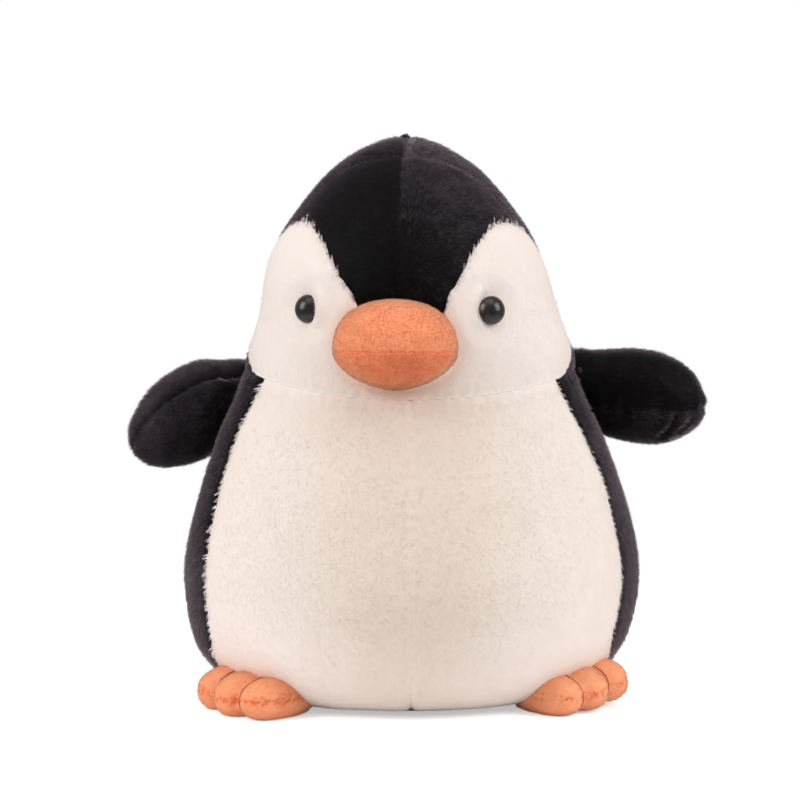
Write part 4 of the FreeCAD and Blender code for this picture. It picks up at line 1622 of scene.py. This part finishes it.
footCentre, upward = np.array(feet["middle"]), np.array([0, 0, 1.0])
footSeam = {"depth": 0.3, "width": 0.8, "shorten": 0.2, "tone": -0.1, "toneWidth": 2.0, "fleck": -0.45}
for sideName, side in sides.items():
    # The foot's surface along directions from its centre, taken inwards by shrink.
    def footShape(azimuth, elevation, shrink=0.0):
        directions = directionsOf(azimuth, elevation)
        field = lambda places: footField(sideName, side, places, shrink)
        return footWorld(sideName, side, outTo(footCentre, directions, field, feet["reach"]))

    inside = footWorld(sideName, side, footCentre)
    bend = np.array([[0.0, ahead, 0.0] for ahead in feet["bend"]])
    heelSpot, toeSpot = footWorld(sideName, side, bend) * mm
    turn = np.radians(feet[sideName]["turn"])
    outward = np.array([side * np.sin(turn), -np.cos(turn), -0.4])
    spec = {
        "edges": {"near": footSeam},
        "nap": lambda roots: np.tile(outward, (len(roots), 1)),
        "thick": 1.0,
        "lump": 0.3,
        "lumpGrain": 12.0,
        # The tone shift carries each foot's painted light.
        "toneShift": feet[sideName]["toneShift"],
    }
    for half, high in (("upper", feet["poles"]), ("sole", -feet["poles"])):
        s, t = crossed(np.linspace(-np.pi, np.pi, 180), np.linspace(feet["seamElevation"], high, 48))
        made = sewnPanel(
            f"foot_{sideName}_{half}_velour",
            footShape(s, t),
            spec if half == "upper" else {**spec, "lump": 0.0},
            velour,
            pileMaterials["orange"],
            inside,
            seed=500 + 10 * side + (half == "sole"),
        )
        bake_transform(made)
        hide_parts(f"foot_{sideName}_{half}_panel")
    s, t = crossed(np.linspace(-1.5, 1.5, 30), np.arange(60) / 60 * 2 * np.pi)
    rings = lumpy(footShape(t, s, feet["wall"]), 0.3, 5.0, 91, inside)
    made = closedForm(f"foot_{sideName}_wool", rings, filling)
    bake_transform(made)
    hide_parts(f"foot_{sideName}_stuffing")
    paths = []
    for between in feet["threads"]["between"]:
        tilt = np.linspace(*np.radians(feet["threads"]["tilts"]), 40)
        lift = np.stack([0 * tilt + between * 0.02, np.cos(tilt), np.sin(tilt)], -1)
        middle = footCentre + [between, 0, 0]
        local = outTo(middle, lift, lambda places: footField(sideName, side, places, 0.0), feet["reach"])
        paths.append(footWorld(sideName, side, local + lift * feet["threads"]["proud"]))
    # These threads' dark line is also the painted shade of the grooves between the toes.
    made = makeThread(f"foot_{sideName}_toe_sewing", paths, 0.28, orangeThread)
    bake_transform(made)
    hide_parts(f"foot_{sideName}_toe_threads")
    paths = []
    sewn = feet["attachment"]
    for step in np.linspace(*sewn["across"]):
        middle = footWorld(sideName, side, np.array([step, sewn["forward"], sewn["up"]]))
        paths.append(stitchPath(middle, outward * [1, 1, 0], upward, sewn["length"], sewn["rise"]))
    made = makeThread(f"foot_{sideName}_sewing", paths, 0.5, orangeThread)
    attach(made, "trunk")
    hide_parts(f"foot_{sideName}_attachment_thread")
print("feet done")


# Sections along the beak's width: each is a rounded arc from under the mouth seam to over it, and both ends
# close to a soft point. Upper, lower and reachPower are the outlines' powers: above 2 is squarer than an
# ellipse. Wrap is the angle at which a panel turns in behind, and wall is its depth over the filling.
beakShape = {
    "halfWidth": 26.2,
    "rise": 21.9,
    "fall": 15.6,
    "upper": 2.3,
    "lower": 1.74,
    "aside": -0.7,
    "seamLift": 2.9,
    "reachPower": 2.1,
    "root": 3.0,
    "seat": beakLow[2] - 0.4,
    "ends": 0.998,
    "wrap": 1.75,
    "wall": 2.6,
}


# How far forward the face is at a place across and a height: the oval's front by Pythagoras.
def faceDepth(x, height):
    oval = ovalAt(runAtHeight(height))
    return -oval[..., 3] - oval[..., 2] * np.sqrt(np.clip(1 - (x / oval[..., 1]) ** 2, 0, 1))


# s goes across from -1 to 1. The angle is 0 at the mouth seam, above 0 over it and below 0 under it. The
# height is the angle's sine and the reach its cosine, each by its own outline across.
def beakPoints(s, angle, shrink=0.0):
    width = beakShape["halfWidth"] - shrink
    isUpper = angle > 0
    power = np.where(isUpper, beakShape["upper"], beakShape["lower"])
    share = (1 - np.abs(s) ** power) ** (1 / power)
    tall = np.where(isUpper, beakShape["rise"], beakShape["fall"]) - shrink
    middle = beak["middle"][0] + beakShape["aside"]
    x = middle + s * width
    backAt = faceDepth(x, np.full(np.shape(x), beakShape["seat"])) + beakShape["root"]
    front = faceDepth(np.array(middle), np.array(beakShape["seat"])) + beakShape["root"]
    reachPower = beakShape["reachPower"]
    reach = (front - beakLow[1] - shrink) * (1 - np.abs(s) ** reachPower) ** (1 / reachPower)
    y = backAt - reach * np.cos(angle)
    lifted = beakShape["seamLift"] * np.sqrt(1 - s**2) * np.cos(angle) ** 2
    z = beakShape["seat"] + tall * share * np.sin(angle) + lifted
    return np.stack([x, y, z], -1)


# The places across gather towards both ends, by the sine.
across = np.sin(np.linspace(-1, 1, 150) * np.arcsin(beakShape["ends"]))
for half, sign in (("upper", 1.0), ("lower", -1.0)):
    s, t = crossed(across, np.linspace(1e-4 * sign, sign * beakShape["wrap"], 70))
    made = sewnPanel(
        f"beak_{half}_velour",
        beakPoints(s, t),
        {
            "edges": {"near": {"depth": 0.16, "width": 0.5, "dash": -0.5}},
            "nap": lambda roots: np.tile([0.1, -0.5, -1.0], (len(roots), 1)),
            "thick": 1.0,
            "lump": 0.4,
            "lumpGrain": 16.0,
            # The upper panel is painted lighter and the lower darker: painted light above and painted shade
            # below.
            "toneShift": 0.08 if half == "upper" else -0.07,
        },
        velour,
        pileMaterials["orange"],
        [beak["middle"][0], beakHigh[1], beakShape["seat"]],
        seed=610 + (half == "upper"),
    )
    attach(made, "trunk")
    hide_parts(f"beak_{half}_panel")
# The filling's rings go round the front from -1.6 to 1.6 and close straight down the back.
s, t = crossed(np.linspace(-0.985, 0.985, 50), np.linspace(-1.6, 4.6, 60, endpoint=False))
rings = beakPoints(s, np.where(t > 1.6, np.sign(3.1 - t) * 1.6, t), beakShape["wall"])
rings = lumpy(rings, 0.35, 5.0, 93, rings.mean((0, 1)))
made = closedForm("beak_wool", rings, filling)
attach(made, "trunk")
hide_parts("beak_stuffing")

# Stitches round the beak's edge, where it meets the face.
beakSewing = {
    "count": 16,
    "first": 0.2,
    "share": 0.93,
    "angle": 1.5,
    "inset": 0.7,
    "length": 1.8,
    "rise": -0.2,
}
paths = []
for turn in np.arange(beakSewing["count"]) / beakSewing["count"] * 2 * np.pi + beakSewing["first"]:
    place = np.array(np.sin(turn) * beakSewing["share"])
    edge = beakPoints(place, np.array(np.sign(np.cos(turn)) * beakSewing["angle"]))
    face = np.array([edge[0], faceDepth(np.array(edge[0]), np.array(edge[2])), edge[2]])
    outwardFromBeak = unit(edge - [beak["middle"][0], edge[1], beakShape["seat"]])
    spot = face - outwardFromBeak * beakSewing["inset"]
    forward = np.array([0, -1.0, 0])
    paths.append(stitchPath(spot, outwardFromBeak, forward, beakSewing["length"], beakSewing["rise"]))
made = makeThread("beak_sewing", paths, 0.35, orangeThread)
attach(made, "trunk")
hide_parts("beak_attachment_thread")

# The back closing: stitches across the back's middle seam, over the height the thread takes up.
low, high = (nominal(corner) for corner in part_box("back_closing_thread"))
closing = {"count": 10, "margin": 0.6, "slant": unit(np.array([1.0, 0, 0.35])), "length": 5.0, "rise": 1.2}
paths = []
for height in np.linspace(low[2] + closing["margin"], high[2] - closing["margin"], closing["count"]):
    spot = trunkPoint(np.array(np.pi), runAtHeight(height)) + [0, -0.2, 0]
    backward = np.array([0, 1.0, 0])
    paths.append(stitchPath(spot, closing["slant"], backward, closing["length"], closing["rise"]))
made = makeThread("back_closing_sewing", paths, 0.5, blackThread)
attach(made, "trunk")
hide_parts("back_closing_thread")
print("beak and threads done")


# Glossy black plastic, its gloss dulled in clouds by handling.
def eyeMaterial():
    gloss = {"Specular_IOR_Level": 0.42, "Coat_Weight": 0.25, "Coat_Roughness": 0.25}
    black = (linear(10, 7, 7), linear(32, 22, 20))
    material, shader, place = mottledMaterial("eyeGloss", (3.0, 3.0), (0.3, 0.7), *black, **gloss)
    place.put(shader.inputs["Roughness"], grain(place, 3.0, 3.0).spread(0.2, 0.42))
    return material


# Milky nylon, a little uneven in colour and gloss.
def washerMaterial():
    milky = (linear(205, 205, 202), linear(228, 228, 225))
    made = mottledMaterial("washerMilky", (5.0, 2.0), (0.3, 0.7), *milky, Specular_IOR_Level=0.4)
    material, shader, place = made
    place.put(shader.inputs["Roughness"], grain(place, 2.0).between(-0.5, 1.5))
    return material


for prefix, material in (("eye", eyeMaterial()), ("eye_washer", washerMaterial())):
    for sideName in sides:
        carried = frame["nodes"][f"{prefix}_{sideName}"]
        for thing in carried if isinstance(carried, (list, tuple)) else [carried]:
            for slotted in thing.material_slots:
                slotted.material = material
print("eyes done")


studio = {"distance": 1500.0, "elevation": 7.0, "aim": 118.0, "lens": 154.817, "middle": (0.01375, 0.03125)}
cameraData = bpy.data.cameras.new("camera")
cameraData.sensor_width = 36.0
cameraData.lens = studio["lens"]
cameraData.shift_x, cameraData.shift_y = -studio["middle"][0], studio["middle"][1]
cameraData.clip_start, cameraData.clip_end = 0.05, 50.0
camera = bpy.data.objects.new("camera", cameraData)
bpy.context.scene.collection.objects.link(camera)
tilt = np.radians(studio["elevation"])
cameraPlace = np.array([0, -np.cos(tilt), np.sin(tilt)]) * studio["distance"] + [0, 0, studio["aim"]]
camera.location = cameraPlace * mm
camera.rotation_euler = (np.pi / 2 - tilt, 0, 0)
bpy.context.scene.camera = camera


# A soft box: a rectangle whose back is turned along the line from its aim.
def areaLight(name, place, aim, size, power):
    data = bpy.data.lights.new(name, "AREA")
    data.shape, data.size, data.size_y, data.energy = "RECTANGLE", size[0], size[1], power
    made = bpy.data.objects.new(name, data)
    made.location = place
    made.rotation_euler = (Vector(aim) - Vector(place)).to_track_quat("-Z", "Y").to_euler()
    bpy.context.scene.collection.objects.link(made)


# Two soft boxes in front and one above, each aimed at the toy's middle. Places are in metres.
areaLight("leftBox", (-1.1, -0.55, 0.75), (0, 0, 0.12), (0.7, 1.0), 12.2)
areaLight("rightBox", (1.1, -0.5, 0.8), (0, 0, 0.12), (0.7, 1.0), 12.2)
areaLight("topBox", (0, -0.3, 1.5), (0, 0, 0.1), (1.2, 1.0), 5.6)

floorMesh = bpy.data.meshes.new("floor")
floorMesh.from_pydata([(-3, -3, 0), (3, -3, 0), (3, 3, 0), (-3, 3, 0)], [], [(0, 1, 2, 3)])
floor = bpy.data.objects.new("floor", floorMesh)
bpy.context.scene.collection.objects.link(floor)
floorMaterial, floorShader, floorPlace = newMaterial("floorPaper", Roughness=0.9, Specular_IOR_Level=0.1)
floorShader.inputs["Base Color"].default_value = (0.9, 0.89, 0.88, 1)
floorShader.inputs["Emission Color"].default_value = (1, 1, 1, 1)


# 1 where the camera sees the surface itself, and 0 in reflections and on what it lights.
def cameraSees(tree):
    return Field(tree, tree.nodes.new("ShaderNodeLightPath").outputs["Is Camera Ray"])


# The floor glows a little for the camera only, and clears away with its distance from the toy, in metres.
backdrop = {"floorGlow": 0.47, "fade": (0.22, 0.42), "lightToToy": 0.37, "lightToCamera": 1.0}
floorTree = floorPlace.tree
floorPlace.put(floorShader.inputs["Emission Strength"], cameraSees(floorTree) * backdrop["floorGlow"])
reach = floorPlace.node("ShaderNodeVectorMath", {"operation": "LENGTH"}, Vector=floorPlace)
fade = Field(floorTree, reach.outputs["Value"]).between(*backdrop["fade"])
clear = floorPlace.node("ShaderNodeBsdfTransparent")
mixed = floorPlace.node("ShaderNodeMixShader")
shaders = (fade, Field(floorTree, floorShader.outputs[0]), Field(floorTree, clear.outputs[0]))
for socket, field in zip(mixed.inputs, shaders):
    floorPlace.put(socket, field)
floorTree.links.new(mixed.outputs[0], floorTree.nodes["Material Output"].inputs["Surface"])
floorMesh.materials.append(floorMaterial)

world = bpy.data.worlds.new("world")
world.use_nodes = True
worldTree = world.node_tree
background = worldTree.nodes["Background"]
strength = cameraSees(worldTree).spread(backdrop["lightToToy"], backdrop["lightToCamera"])
background.inputs["Color"].default_value = (1, 1, 1, 1)
strength.put(background.inputs["Strength"], strength)
bpy.context.scene.world = world
bpy.context.scene.view_settings.view_transform = "Standard"
